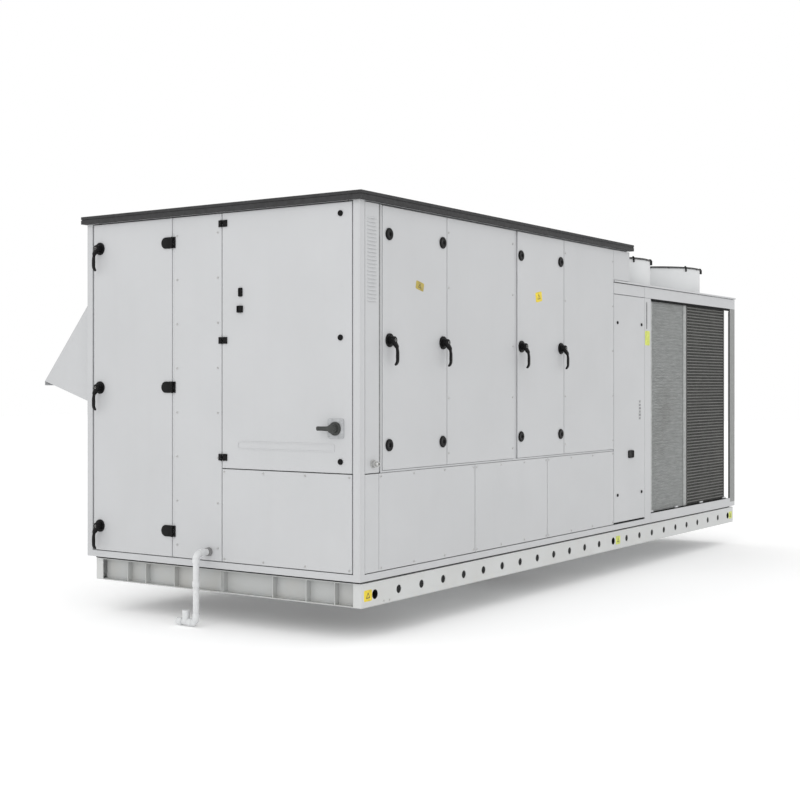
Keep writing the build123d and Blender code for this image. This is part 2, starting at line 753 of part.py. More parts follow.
def refrigerant_pipes():
    """Suction and discharge headers with their branches, and the liquid lines to the evaporator."""
    pipes = []
    suction_s, suction_z = compressor_s - 200, 330.0
    header = rod((suction_s, 300.0, suction_z), (0, 1, 0), case_width - 600, 20.0)
    for t in compressor_t:
        header += rod((suction_s, t, suction_z), (1, 0, 0), 69.0, suction_radius)
    pipes.append(header)
    top_z = floor_z[1] + foot_height + 470 + 90
    discharge_z = top_z + 120
    rail = rod((compressor_s, 300.0, discharge_z), (0, 1, 0), case_width - 600, 14.0)
    for t in compressor_t:
        rail += rod((compressor_s, t + 60, top_z), (0, 0, 1), discharge_z - top_z, 11.0)
    pipes.append(rail)
    for t in (200.0, case_width - 200.0):
        turn = 100.0 if t < centre_t else -100.0
        start_t = 300.0 if t < centre_t else case_width - 300.0
        run = [
            (compressor_s, start_t, discharge_z),
            (compressor_s, t, discharge_z),
            (compressor_s + 330, t, discharge_z),
            (compressor_s + 330, t, 1700.0),
            (coil_a_s[0] + 60, t, 1700.0),
            (coil_a_s[0] + 60, t - turn, 1700.0),
        ]
        pipes.append(pipe_run(run, 40.0, 14.0))
    return pipes


# ---- doors, handles and locks ------------------------------------------------------------------------
rosette_radius = 41.0
rosette_height = 10.0
lever_width = 26.0
lever_thickness = 14.0
lever_line = ((-14.0, 40.0), (-44.0, 56.0), (-72.0, 61.0), (-122.0, 61.0), (-145.0, 49.0))


def lever_handle(plane):
    """A hub on the spindle with a cranked arm that hangs down clear of the door and hooks back."""
    handle = Pos(0, 0, rosette_height + part_gap + 18) * Cylinder(25.0, 36.0)
    for (start_y, start_z), (end_y, end_z) in zip(lever_line, lever_line[1:]):
        length = math.hypot(end_y - start_y, end_z - start_z)
        tilt = math.degrees(math.atan2(end_z - start_z, end_y - start_y))
        middle = Pos(0, (start_y + end_y) / 2, (start_z + end_z) / 2)
        handle += middle * Rot(tilt, 0, 0) * Box(lever_width, length, lever_thickness)
    for y, z in lever_line:
        handle += Pos(0, y, z) * Rot(0, 90, 0) * Cylinder(lever_thickness / 2, lever_width)
    return on_plane(plane, handle)


def rosette(plane):
    return on_plane(plane, Pos(0, 0, rosette_height / 2) * Cylinder(rosette_radius, rosette_height))


def round_knob(plane):
    body = Pos(0, 0, 5.0) * Cylinder(37.0, 10.0)
    return on_plane(plane, fillet(body.edges().group_by(Axis.Z)[-1], 4.0))


end_hinge_z = (364.0, 1281.0, 2198.0)
control_hinge_z = (839.0, 1571.0, 2302.0)
end_hinge_t = 1466.0
control_hinge_t = 1053.0
hinge_offset = 9.0            # distance of a hinge pin from the face
knuckle_radius = 7.5
pin_radius = 4.0


def hinge_halves(hinge_t, z, height, door_side, leaf):
    """The fixed and the moving half of one hinge; door_side is +1 or -1 along t."""
    third = height / 3
    centre = (-hinge_offset, hinge_t)
    near, far = 9.5, 24.0

    def neck(z_low, length, side):
        knuckle = rod((*centre, z_low), (0, 0, 1), length, knuckle_radius)
        t = sorted((hinge_t + side * 2, hinge_t + side * (near + 2)))
        return knuckle + block((-6.5, -1.6), tuple(t), (z_low, z_low + length))

    low = z - height / 2
    fixed_t = tuple(sorted((hinge_t - door_side * near, hinge_t - door_side * far)))
    fixed = block((-6.5, -0.05), fixed_t, (low, low + height))
    fixed += neck(low, third, -door_side)
    fixed += neck(low + 2 * third, third, -door_side)
    fixed += rod((*centre, low), (0, 0, 1), height, pin_radius)
    moving = leaf + neck(low + third + part_gap, third - 2 * part_gap, door_side)
    moving -= rod((*centre, low - 1), (0, 0, 1), height + 2, pin_radius + running_gap)
    return fixed, moving


def end_hinge(z):
    """The leaf on the end door is D-shaped, rounded away from the pin."""
    height, flat = 72.0, 60.0
    leaf_t = (end_hinge_t + 10.5, end_hinge_t + flat)
    leaf = block((-8.0, -0.05), leaf_t, around(z, height))
    leaf += rod((-8.0, leaf_t[1], z), (1, 0, 0), 7.95, height / 2)
    return hinge_halves(end_hinge_t, z, height, 1, leaf)


def control_hinge(z):
    size = 42.0
    leaf_t = (control_hinge_t - 10.5 - size + 8, control_hinge_t - 10.5)
    leaf = block((-8.0, -0.05), leaf_t, around(z, size))
    return hinge_halves(control_hinge_t, z, size, -1, leaf)


service_lock_s = (3472.0, 3929.0)
service_lock_z = (424.0, 1786.0)


def fixed_fittings():
    """The fixed halves of the hinges, and the locks and pulls of the service panels on both sides."""
    pieces = [end_hinge(z)[0] for z in end_hinge_z] + [control_hinge(z)[0] for z in control_hinge_z]
    lock = Pos(0, 0, 3.0) * Cylinder(12.5, 6.0)
    pull = Pos(0, 0, 5.0) * Box(100.0, 62.0, 10.0)
    pull -= Pos(0, 0, 7.0) * Box(78.0, 40.0, 8.0)
    for face in (front_face, back_face):
        pieces += [on_plane(face(s, z), lock) for s in service_lock_s for z in service_lock_z]
        pieces.append(on_plane(face(3720.0, 739.0), pull))
    return pieces


end_lever_t = 2123.0
end_lever_z = (361.0, 1277.0, 2197.0)
access_lever_z = 1560.0
lever_a_s = (299.0, 894.0)
lever_b_s = (1912.0, 2502.0)
knob_z = (937.0, 2190.0)
knob_a_s = (295.0, 887.0)
knob_b_s = (1905.0, 2493.0)
isolator_t = 170.0
isolator_z = 1040.0
lock_t = 138.0
lock_z = (847.0, 1570.0, 2293.0)


def end_door():
    return [door_leaf((0, panel), end_door_t, tall_z)]


def end_door_fittings():
    leaves = [end_hinge(z)[1] for z in end_hinge_z]
    return leaves + [rosette(end_face(end_lever_t, z)) for z in end_lever_z]


def control_door():
    """A single-skin door with folded edges, and holes for the lock barrels."""
    door = fillet(block((0, panel), control_door_t, (780.0, 2357.0)).edges(), edge_radius)
    door -= block((2.0, panel + 1), inset(control_door_t, 2.0), inset((780.0, 2357.0), 2.0))
    for z in lock_z:
        door -= rod((-1.0, lock_t, z), (1, 0, 0), 6.0, 11.0 + running_gap)
    return [door]


def control_door_fittings():
    """Hinge leaves, the isolator's square plate and rosette, and two small service ports."""
    pieces = [control_hinge(z)[1] for z in control_hinge_z]
    face = end_face(isolator_t, isolator_z)
    base = Pos(0, 0, 4.0) * Box(118.0, 118.0, 8.0)
    base += Pos(0, 0, 16.0) * Cylinder(40.0, 16.0)
    pieces.append(on_plane(face, base))
    pieces.append(on_plane(end_face(900.0, 1863.0), Pos(0, 0, 5.0) * Box(30.0, 54.0, 10.0)))
    pieces.append(on_plane(end_face(903.0, 1759.0), Pos(0, 0, 7.0) * Box(43.0, 43.0, 14.0)))
    return pieces


def isolator_handle():
    """A rotary handle whose grip points level, towards the back of the unit, when it is off."""
    grip = Pos(-42.0, 0, 52.0) * Box(128.0, 27.0, 22.0)
    handle = Pos(0, 0, 42.0 + part_gap) * Cylinder(27.0, 36.0) + fillet(grip.edges(), 8.0)
    return [on_plane(end_face(isolator_t, isolator_z), handle)]


def control_lock(z):
    """A quarter-turn lock: round head, barrel through the door skin and an inner cam."""
    head = Pos(0, 0, 4.0 + part_gap) * Cylinder(17.5, 8.0)
    slot = Pos(0, 0, 9.0) * Box(22.0, 4.0, 6.0)
    barrel = Pos(0, 0, -20.0) * Cylinder(11.0, 41.0)
    cam = Pos(9.0, 0, -38.0) * Box(36.0, 18.0, 3.0)
    return [on_plane(end_face(lock_t, z), head - slot + barrel + cam)]


def access_door(s):
    return [door_leaf(s, (0, panel), door_z)]


def access_door_fittings(knobs_s, levers_s):
    pieces = [round_knob(front_face(s, z)) for s in knobs_s for z in knob_z]
    return pieces + [rosette(front_face(s, access_lever_z)) for s in levers_s]


def panel_fasteners():
    """Screw heads on the fixed panels, and the round metal port."""
    head_radius, head_height = 7.0, 4.0
    spots = []
    for low, high in ((948.0, 1806.0), (2560.0, case_length - 3)):
        for s in (low + 16, high - 16):
            spots += [(s, z) for z in (860.0, 1210.0, 1560.0, 1910.0, 2260.0)]
    for low, high in ((194.0, 1287.0), (1293.0, 2293.0), (2299.0, case_length - 3)):
        steps = max(2, round((high - low) / 330))
        for index in range(steps + 1):
            s = low + 18 + (high - low - 36) * index / steps
            spots += [(s, z) for z in (218.0, 756.0)]
    head = Pos(0, 0, head_height / 2) * Cylinder(head_radius, head_height)
    screws = [on_plane(front_face(s, z), head) for s, z in spots]
    end_spots = [(t, z) for t in (1086.0, 1428.0) for z in range(280, 2300, 280)]
    end_spots += [(t, z) for t in (75.0, 400.0, 720.0, 1032.0) for z in (218.0, 756.0)]
    screws += [on_plane(end_face(t, z), head) for t, z in end_spots]
    port = Pos(0, 0, 12.0) * Cylinder(26.0, 24.0) + Pos(0, 0, 34.0) * Cylinder(15.0, 20.0)
    screws.append(on_plane(front_face(130.0, 833.0), port))
    return screws


# ---- write every node --------------------------------------------------------------------------------
def build():
    os.makedirs("parts", exist_ok=True)
    save("base_side_rails", base_side_rails())
    save("base_cross_members", base_cross_members())
    save("lifting_sleeves", lifting_sleeves())
    save("rail_hole_plugs", rail_hole_plugs())
    save("floor_deck", floor_deck())
    save("casing_frame", casing_frame())
    save("wall_panels", front_panels() + end_panels() + back_panels())
    save("louvre_panel", [louvre_panel()])
    save("inner_bulkheads", inner_bulkheads())
    save("roof_panel", roof_panel())
    save("roof_trim", roof_trim())
    save("drain_pipe", drain_pipe())
    save("drain_pan", drain_pan())
    save("filter_cells", filter_cells())
    save("evaporator_coil", evaporator_coil())
    save("supply_fan_mounts", supply_fan_mounts())
    for name, t in zip(("front", "back"), supply_fan_t):
        save(f"supply_fan_wheel_{name}", supply_fan_wheel(t))
    save("control_switchgear", control_switchgear())
    save("damper_frame", damper_frame() + damper_actuator())
    for index in range(blade_count):
        save(f"damper_blade_{index + 1}", damper_blade(index))
    save("hood_shell", hood_shell())
    save("condenser_frame", condenser_frame())
    save("condenser_panels", condenser_panels())
    save("fan_deck", fan_deck())
    save("fan_shrouds", fan_shrouds())
    save("fan_guards", fan_guards())
    save("fan_motors", fan_motors())
    for index, centre in enumerate(fan_centres()):
        save(f"fan_rotor_{index + 1}", fan_rotor(centre))
    save("condenser_coils_light", condenser_coil(coil_a_s, 62.0))
    save("condenser_coils_dark", condenser_coil(coil_b_s, 22.0))
    save("compressors", compressors())
    save("compressor_feet", compressor_feet())
    save("refrigerant_pipes", refrigerant_pipes())
    save("fixed_fittings", fixed_fittings())
    save("end_door", end_door())
    save("end_door_fittings", end_door_fittings())
    for name, z in zip(("low", "middle", "high"), end_lever_z):
        save(f"end_lever_{name}", [lever_handle(end_face(end_lever_t, z))])
    save("control_door", control_door())
    save("control_door_fittings", control_door_fittings())
    save("isolator_handle", isolator_handle())
    for name, z in zip(("low", "middle", "high"), lock_z):
        save(f"control_lock_{name}", control_lock(z))
    save("access_door_a", access_door(door_a_s))
    save("access_door_a_fittings", access_door_fittings(knob_a_s, lever_a_s))
    save("access_door_b", access_door(door_b_s))
    save("access_door_b_fittings", access_door_fittings(knob_b_s, lever_b_s))
    for door, levers_s in (("a", lever_a_s), ("b", lever_b_s)):
        for name, s in zip(("left", "right"), levers_s):
            save(f"lever_{door}_{name}", [lever_handle(front_face(s, access_lever_z))])
    save("panel_fasteners", panel_fasteners())


build()
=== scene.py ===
import json
import math

import bmesh
import bpy
from mathutils import Matrix, Vector


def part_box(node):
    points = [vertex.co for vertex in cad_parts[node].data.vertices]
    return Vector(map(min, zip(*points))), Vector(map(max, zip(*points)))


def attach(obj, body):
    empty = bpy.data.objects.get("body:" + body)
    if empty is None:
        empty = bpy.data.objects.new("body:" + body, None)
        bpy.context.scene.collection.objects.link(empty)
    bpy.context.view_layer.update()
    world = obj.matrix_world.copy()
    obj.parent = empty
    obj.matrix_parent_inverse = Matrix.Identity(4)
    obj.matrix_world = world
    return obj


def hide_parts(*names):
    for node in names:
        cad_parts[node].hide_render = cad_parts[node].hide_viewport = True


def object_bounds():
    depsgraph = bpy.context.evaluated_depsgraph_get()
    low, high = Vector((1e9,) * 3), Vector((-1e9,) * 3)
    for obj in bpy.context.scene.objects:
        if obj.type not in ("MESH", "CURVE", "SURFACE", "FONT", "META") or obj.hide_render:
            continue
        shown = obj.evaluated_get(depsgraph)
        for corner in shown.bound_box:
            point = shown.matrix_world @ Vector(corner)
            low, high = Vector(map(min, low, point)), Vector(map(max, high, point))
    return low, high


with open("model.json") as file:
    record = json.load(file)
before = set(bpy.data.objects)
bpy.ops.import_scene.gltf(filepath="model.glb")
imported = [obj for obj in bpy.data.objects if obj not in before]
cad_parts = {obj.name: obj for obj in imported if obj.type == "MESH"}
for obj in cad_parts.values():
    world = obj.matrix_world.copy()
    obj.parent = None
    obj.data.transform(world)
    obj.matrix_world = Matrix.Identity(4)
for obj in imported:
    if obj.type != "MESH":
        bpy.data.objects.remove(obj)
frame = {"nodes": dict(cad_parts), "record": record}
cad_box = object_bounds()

# Every place is given like the design's: s along the unit from its end wall, t across it from its
# front wall and z up, all in metres. The walls' lowest corner comes from the frame.
WALLS_LOW, WALLS_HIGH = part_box("wall_panels")
CASE_WIDTH = WALLS_HIGH.y - WALLS_LOW.y

# What stands along local Z is put in place with these, and turned to lie along the unit or across it.
moved = Matrix.Translation
ALONG_X = Matrix.Rotation(math.pi / 2, 4, "Y")
AGAINST_X = Matrix.Rotation(-math.pi / 2, 4, "Y")
ALONG_Y = Matrix.Rotation(-math.pi / 2, 4, "X")


def at(s, t, z):
    """The point of the frame that lies at s, t and z."""
    return Vector((WALLS_LOW.x + s, WALLS_LOW.y + t, z))


def front_frame(s, z, t=0.0):
    """Local axes on the front wall: X along the unit, Y up, Z outwards."""
    turn = Matrix(((1, 0, 0), (0, 0, -1), (0, 1, 0))).to_4x4()
    return moved(at(s, t, z)) @ turn


def back_frame(s, z):
    """Local axes on the back wall: X against the unit, Y up, Z outwards."""
    turn = Matrix(((-1, 0, 0), (0, 0, 1), (0, 1, 0))).to_4x4()
    return moved(at(0, 0, 0)) @ turn @ moved((-s, z, CASE_WIDTH))


def end_frame(t, z, s=0.0):
    """Local axes on the end wall: X towards the front, Y up, Z outwards."""
    turn = Matrix(((0, 0, -1), (-1, 0, 0), (0, 1, 0))).to_4x4()
    return moved(at(s, t, z)) @ turn


# ---- materials -----------------------------------------------------------------------------------
class Nodes:
    """Short names for the nodes that every finish is made of."""

    def __init__(self, name):
        self.material = bpy.data.materials.new(name)
        self.material.use_nodes = True
        self.tree = self.material.node_tree
        self.shader = self.tree.nodes["Principled BSDF"]
        self.place = self.tree.nodes.new("ShaderNodeTexCoord").outputs["Object"]

    def link(self, output, target):
        self.tree.links.new(output, target)

    def scaled(self, scale):
        mapping = self.tree.nodes.new("ShaderNodeMapping")
        mapping.inputs["Scale"].default_value = scale
        self.link(self.place, mapping.inputs["Vector"])
        return mapping.outputs["Vector"]

    def noise(self, scale, detail=4.0, stretch=(1, 1, 1), roughness=0.55):
        node = self.tree.nodes.new("ShaderNodeTexNoise")
        node.inputs["Scale"].default_value = scale
        node.inputs["Detail"].default_value = detail
        node.inputs["Roughness"].default_value = roughness
        self.link(self.scaled(stretch), node.inputs["Vector"])
        return node.outputs["Fac"]

    def cells(self, scale):
        node = self.tree.nodes.new("ShaderNodeTexVoronoi")
        node.inputs["Scale"].default_value = scale
        self.link(self.place, node.inputs["Vector"])
        return node.outputs["Color"]

    def ramp(self, value, stops):
        """stops are (position, grey or colour) pairs."""
        node = self.tree.nodes.new("ShaderNodeValToRGB")
        elements = node.color_ramp.elements
        while len(elements) < len(stops):
            elements.new(0.5)
        for element, (position, tone) in zip(elements, stops):
            element.position = position
            colour = tone if hasattr(tone, "__len__") else (tone, tone, tone)
            element.color = (*colour, 1.0)
        self.link(value, node.inputs["Fac"])
        return node.outputs["Color"]

    def mix(self, fac, first, second, blend="MIX"):
        node = self.tree.nodes.new("ShaderNodeMix")
        node.data_type = "RGBA"
        node.blend_type = blend
        for value, socket in ((fac, node.inputs[0]), (first, node.inputs[6]), (second, node.inputs[7])):
            if isinstance(value, bpy.types.NodeSocket):
                self.link(value, socket)
            elif hasattr(value, "__len__"):
                socket.default_value = (*value, 1.0)
            else:
                socket.default_value = value
        return node.outputs[2]

    def math(self, operation, first, second):
        node = self.tree.nodes.new("ShaderNodeMath")
        node.operation = operation
        for value, socket in ((first, node.inputs[0]), (second, node.inputs[1])):
            if isinstance(value, bpy.types.NodeSocket):
                self.link(value, socket)
            else:
                socket.default_value = value
        return node.outputs[0]

    def axis(self, name):
        node = self.tree.nodes.new("ShaderNodeSeparateXYZ")
        self.link(self.place, node.inputs[0])
        return node.outputs[name]

    def bump(self, height, distance, strength=1.0, below=None):
        node = self.tree.nodes.new("ShaderNodeBump")
        node.inputs["Distance"].default_value = distance
        node.inputs["Strength"].default_value = strength
        self.link(height, node.inputs["Height"])
        if below is not None:
            self.link(below, node.inputs["Normal"])
        return node.outputs["Normal"]

    def done(self, colour, roughness, normal=None, **sockets):
        targets = (("Base Color", colour), ("Roughness", roughness), ("Normal", normal))
        for name, value in targets:
            if value is not None:
                self.link(value, self.shader.inputs[name])
        for name, value in sockets.items():
            self.shader.inputs[name.replace("_", " ")].default_value = value
        return self.material


def shade(tone, factor):
    """The tone, made lighter or darker."""
    return tuple(min(1.0, channel * factor) for channel in tone)


def powder_coat(name, tone, dust=0.05, gloss=0.42):
    """Painted sheet: orange-peel texture, faint mottling, rain streaks and dust towards the bottom."""
    n = Nodes(name)
    mottle = n.ramp(n.noise(1.7, 5.0), ((0.3, shade(tone, 0.975)), (0.7, shade(tone, 1.02))))
    streaks = n.noise(9.0, 5.0, stretch=(1, 1, 0.06))
    streaked = n.mix(n.ramp(streaks, ((0.52, 0.0), (0.8, 0.10))), mottle, shade(tone, 0.86))
    low = n.ramp(n.axis("Z"), ((0.0, 1.0), (0.55, 0.0)))
    patches = n.ramp(n.noise(5.0, 6.0), ((0.42, 0.0), (0.75, 1.0)))
    dusty = n.math("MULTIPLY", n.math("MULTIPLY", low, patches), dust)
    colour = n.mix(dusty, streaked, (0.42, 0.38, 0.32))
    speck = n.ramp(n.noise(420.0, 2.0), ((0.70, 0.0), (0.78, 0.10)))
    colour = n.mix(speck, colour, shade(tone, 0.8))
    rough = n.ramp(n.noise(3.0, 4.0), ((0.3, gloss - 0.05), (0.7, gloss + 0.08)))
    peel = n.bump(n.noise(650.0, 2.0), 0.00012, 0.35)
    waves = n.bump(n.noise(2.2, 2.0), 0.0016, 0.35, peel)
    return n.done(colour, rough, waves, Specular_IOR_Level=0.45)


def plastic(name, tone, gloss=0.42, grain=900.0, specular=0.5, fade=0.22):
    """Moulded plastic: fine grain, slight fading and handling marks."""
    n = Nodes(name)
    colour = n.ramp(n.noise(35.0, 5.0), ((0.3, shade(tone, 1 - fade)), (0.75, shade(tone, 1 + fade))))
    rough = n.ramp(n.noise(60.0, 5.0), ((0.35, gloss - 0.08), (0.7, gloss + 0.14)))
    return n.done(colour, rough, n.bump(n.noise(grain, 2.0), 0.0001, 0.5), Specular_IOR_Level=specular)


def galvanised(name, tone):
    """Zinc-coated sheet with its spangle."""
    n = Nodes(name)
    spangle = n.ramp(n.cells(70.0), ((0.1, shade(tone, 0.82)), (0.9, shade(tone, 1.12))))
    colour = n.mix(n.ramp(n.noise(6.0), ((0.4, 0.0), (0.8, 0.35))), spangle, shade(tone, 0.8))
    rough = n.ramp(n.cells(70.0), ((0.0, 0.32), (1.0, 0.5)))
    return n.done(colour, rough, n.bump(n.noise(240.0), 0.0001, 0.4), Metallic=0.85)


def bare_metal(name, tone, gloss=0.35, stretch=(1, 1, 1), metallic=1.0):
    """Rolled, drawn or cast metal, brushed along the direction that isn't stretched."""
    n = Nodes(name)
    lines = n.noise(160.0, 4.0, stretch=stretch)
    colour = n.ramp(lines, ((0.3, shade(tone, 0.84)), (0.7, shade(tone, 1.1))))
    blotch = n.ramp(n.noise(12.0, 5.0), ((0.45, 0.0), (0.8, 0.4)))
    colour = n.mix(blotch, colour, shade(tone, 0.72))
    rough = n.ramp(n.noise(40.0, 4.0), ((0.3, gloss - 0.08), (0.7, gloss + 0.15)))
    return n.done(colour, rough, n.bump(lines, 0.0001, 0.35), Metallic=metallic)


def finned(name, tone, gap_shade_tone, pitch, band_pitch, band_depth):
    """The face of a finned coil: upright fins with painted shade in their gaps, and the tube rows showing as
    faint level bands.
    """
    n = Nodes(name)
    fins = n.math("PINGPONG", n.axis("X"), pitch)
    # The gaps between fins get the darker tone, as painted shade.
    fins = n.ramp(n.math("DIVIDE", fins, pitch), ((0.15, gap_shade_tone), (0.6, tone)))
    bands = n.math("DIVIDE", n.math("PINGPONG", n.axis("Z"), band_pitch / 2), band_pitch / 2)
    bands = n.ramp(bands, ((0.1, 1.0 - band_depth), (0.7, 1.0)))
    colour = n.mix(1.0, fins, bands, "MULTIPLY")
    bent = n.ramp(n.noise(14.0, 4.0, stretch=(0.6, 1, 3.0)), ((0.35, 0.84), (0.7, 1.08)))
    colour = n.mix(1.0, colour, bent, "MULTIPLY")
    dirt = n.ramp(n.noise(2.5, 6.0), ((0.5, 0.0), (0.9, 0.3)))
    colour = n.mix(dirt, colour, (0.19, 0.18, 0.16))
    rough = n.ramp(n.noise(30.0), ((0.3, 0.45), (0.7, 0.65)))
    return n.done(colour, rough, n.bump(n.noise(200.0), 0.0002, 0.4), Metallic=0.35)


WHITE_COAT = powder_coat("white_coat", (0.515, 0.522, 0.531))
BASE_COAT = powder_coat("base_coat", (0.575, 0.585, 0.58), dust=0.16)
# A darker copy of the base paint, with more darkening towards the bottom: painted shade for the end rails
# and cross beams recessed under the casing.
BASE_COAT_SHADED = powder_coat("base_coat_painted_shade", (0.46, 0.47, 0.465), dust=0.3)
SHROUD_COAT = powder_coat("shroud_coat", (0.68, 0.69, 0.695), dust=0.0)
TRIM_COAT = plastic("trim_coat", (0.036, 0.036, 0.037), gloss=0.6, grain=500.0, specular=0.25)
BLACK = plastic("black_plastic", (0.0035, 0.0035, 0.0038), specular=0.16)
DARK_GREY = plastic("dark_grey_plastic", (0.045, 0.047, 0.045), gloss=0.38, specular=0.3)
LIGHT_GREY = plastic("light_grey_plastic", (0.42, 0.43, 0.44))
PVC = plastic("grey_pvc", (0.66, 0.67, 0.675), gloss=0.34, fade=0.05)
COLLAR = plastic("collar_rubber", (0.20, 0.20, 0.20), gloss=0.5)
# A mid grey for the far posts, darker than the walls.
POST_GREY = plastic("far_post_grey", (0.27, 0.275, 0.27), gloss=0.5, specular=0.25, fade=0.08)
# Painted shade: a dark grey for the far posts' inward returns.
POST_RETURN_SHADE = plastic("post_return_shade", (0.085, 0.085, 0.085), gloss=0.6, specular=0.2)
# Near-black painted shade: for shadow gaps, the lifting sleeves' bores and the floor deck's outer edge.
SHADE = plastic("near_black_shade", (0.010, 0.010, 0.010), gloss=0.8, specular=0.1)
# Painted shade: a mid grey for the corner panel's groove and the post's slot.
RECESS_SHADE = plastic("recess_shade_grey", (0.22, 0.222, 0.224), gloss=0.6, specular=0.3)
RUBBER = plastic("rubber", (0.018, 0.018, 0.018), gloss=0.72, grain=500.0, specular=0.25)
ZINC = galvanised("galvanised_sheet", (0.50, 0.52, 0.53))
STEEL = bare_metal("zinc_plated_steel", (0.55, 0.55, 0.54), gloss=0.38)
STAINLESS = bare_metal("stainless_sheet", (0.56, 0.56, 0.55), stretch=(1, 0.04, 1))
ALUMINIUM = bare_metal("mill_aluminium", (0.60, 0.61, 0.62), gloss=0.42)
COPPER = bare_metal("copper_tube", (0.70, 0.34, 0.19), gloss=0.3)
ENAMEL = plastic("black_enamel", (0.012, 0.012, 0.014), gloss=0.28, grain=300.0)
BLADE_COAT = plastic("black_blade_coat", (0.02, 0.02, 0.021), gloss=0.4, grain=400.0)
FINS_LIGHT = finned("light_fins", (0.475, 0.49, 0.485), (0.37, 0.38, 0.375), 0.0021, 0.0264, 0.14)
COIL_PLATE = plastic("coil_end_plate", (0.34, 0.35, 0.345), gloss=0.5)
FINS_DARK = finned("dark_fins", (0.085, 0.085, 0.080), (0.045, 0.045, 0.042), 0.0021, 0.0264, 0.4)
TUBES_DARK = plastic("dark_tubes", (0.125, 0.126, 0.118), gloss=0.55)
FINS_ALU = finned("bright_fins", (0.55, 0.56, 0.57), (0.22, 0.22, 0.22), 0.0025, 0.032, 0.1)
GUARD = plastic("black_guard_wire", (0.006, 0.006, 0.006), gloss=0.45, grain=300.0, specular=0.15)
BOARD = plastic("filter_board", (0.62, 0.60, 0.54), gloss=0.8, grain=250.0)
MEDIA = plastic("filter_media", (0.80, 0.81, 0.80), gloss=0.92, grain=400.0)
LABEL_YELLOW = plastic("yellow_label", (0.78, 0.60, 0.02), gloss=0.4)
LABEL_OCHRE = plastic("ochre_label", (0.42, 0.33, 0.06), gloss=0.4)
LABEL_LIME = plastic("lime_label", (0.60, 0.66, 0.10), gloss=0.4)
MARK_GREY = plastic("plate_grey", (0.47, 0.475, 0.48), gloss=0.4)
MARK_DARK = plastic("plate_print", (0.21, 0.21, 0.22), gloss=0.5)
LABEL_INK = plastic("label_ink", (0.03, 0.03, 0.03), gloss=0.45)


# ---- mesh building -------------------------------------------------------------------------------
SHARP_ANGLE = math.radians(38)


def circle(radius, height=0.0, count=40):
    """A ring of points round local Z."""
    angles = [math.tau * k / count for k in range(count)]
    return [(radius * math.cos(angle), radius * math.sin(angle), height) for angle in angles]


def ribbed_circle(radius, height, groove, count=96):
    """A ring of points with a shallow groove after every second pair."""
    reach = [radius - (groove if k % 4 > 1 else 0.0) for k in range(count)]
    return [(r * x, r * y, height) for r, (x, y, _) in zip(reach, circle(1.0, 0.0, count))]


def stack(outline, levels):
    """The outline at every (scale, height) level."""
    return [[(x * scale, y * scale, height) for x, y in outline] for scale, height in levels]


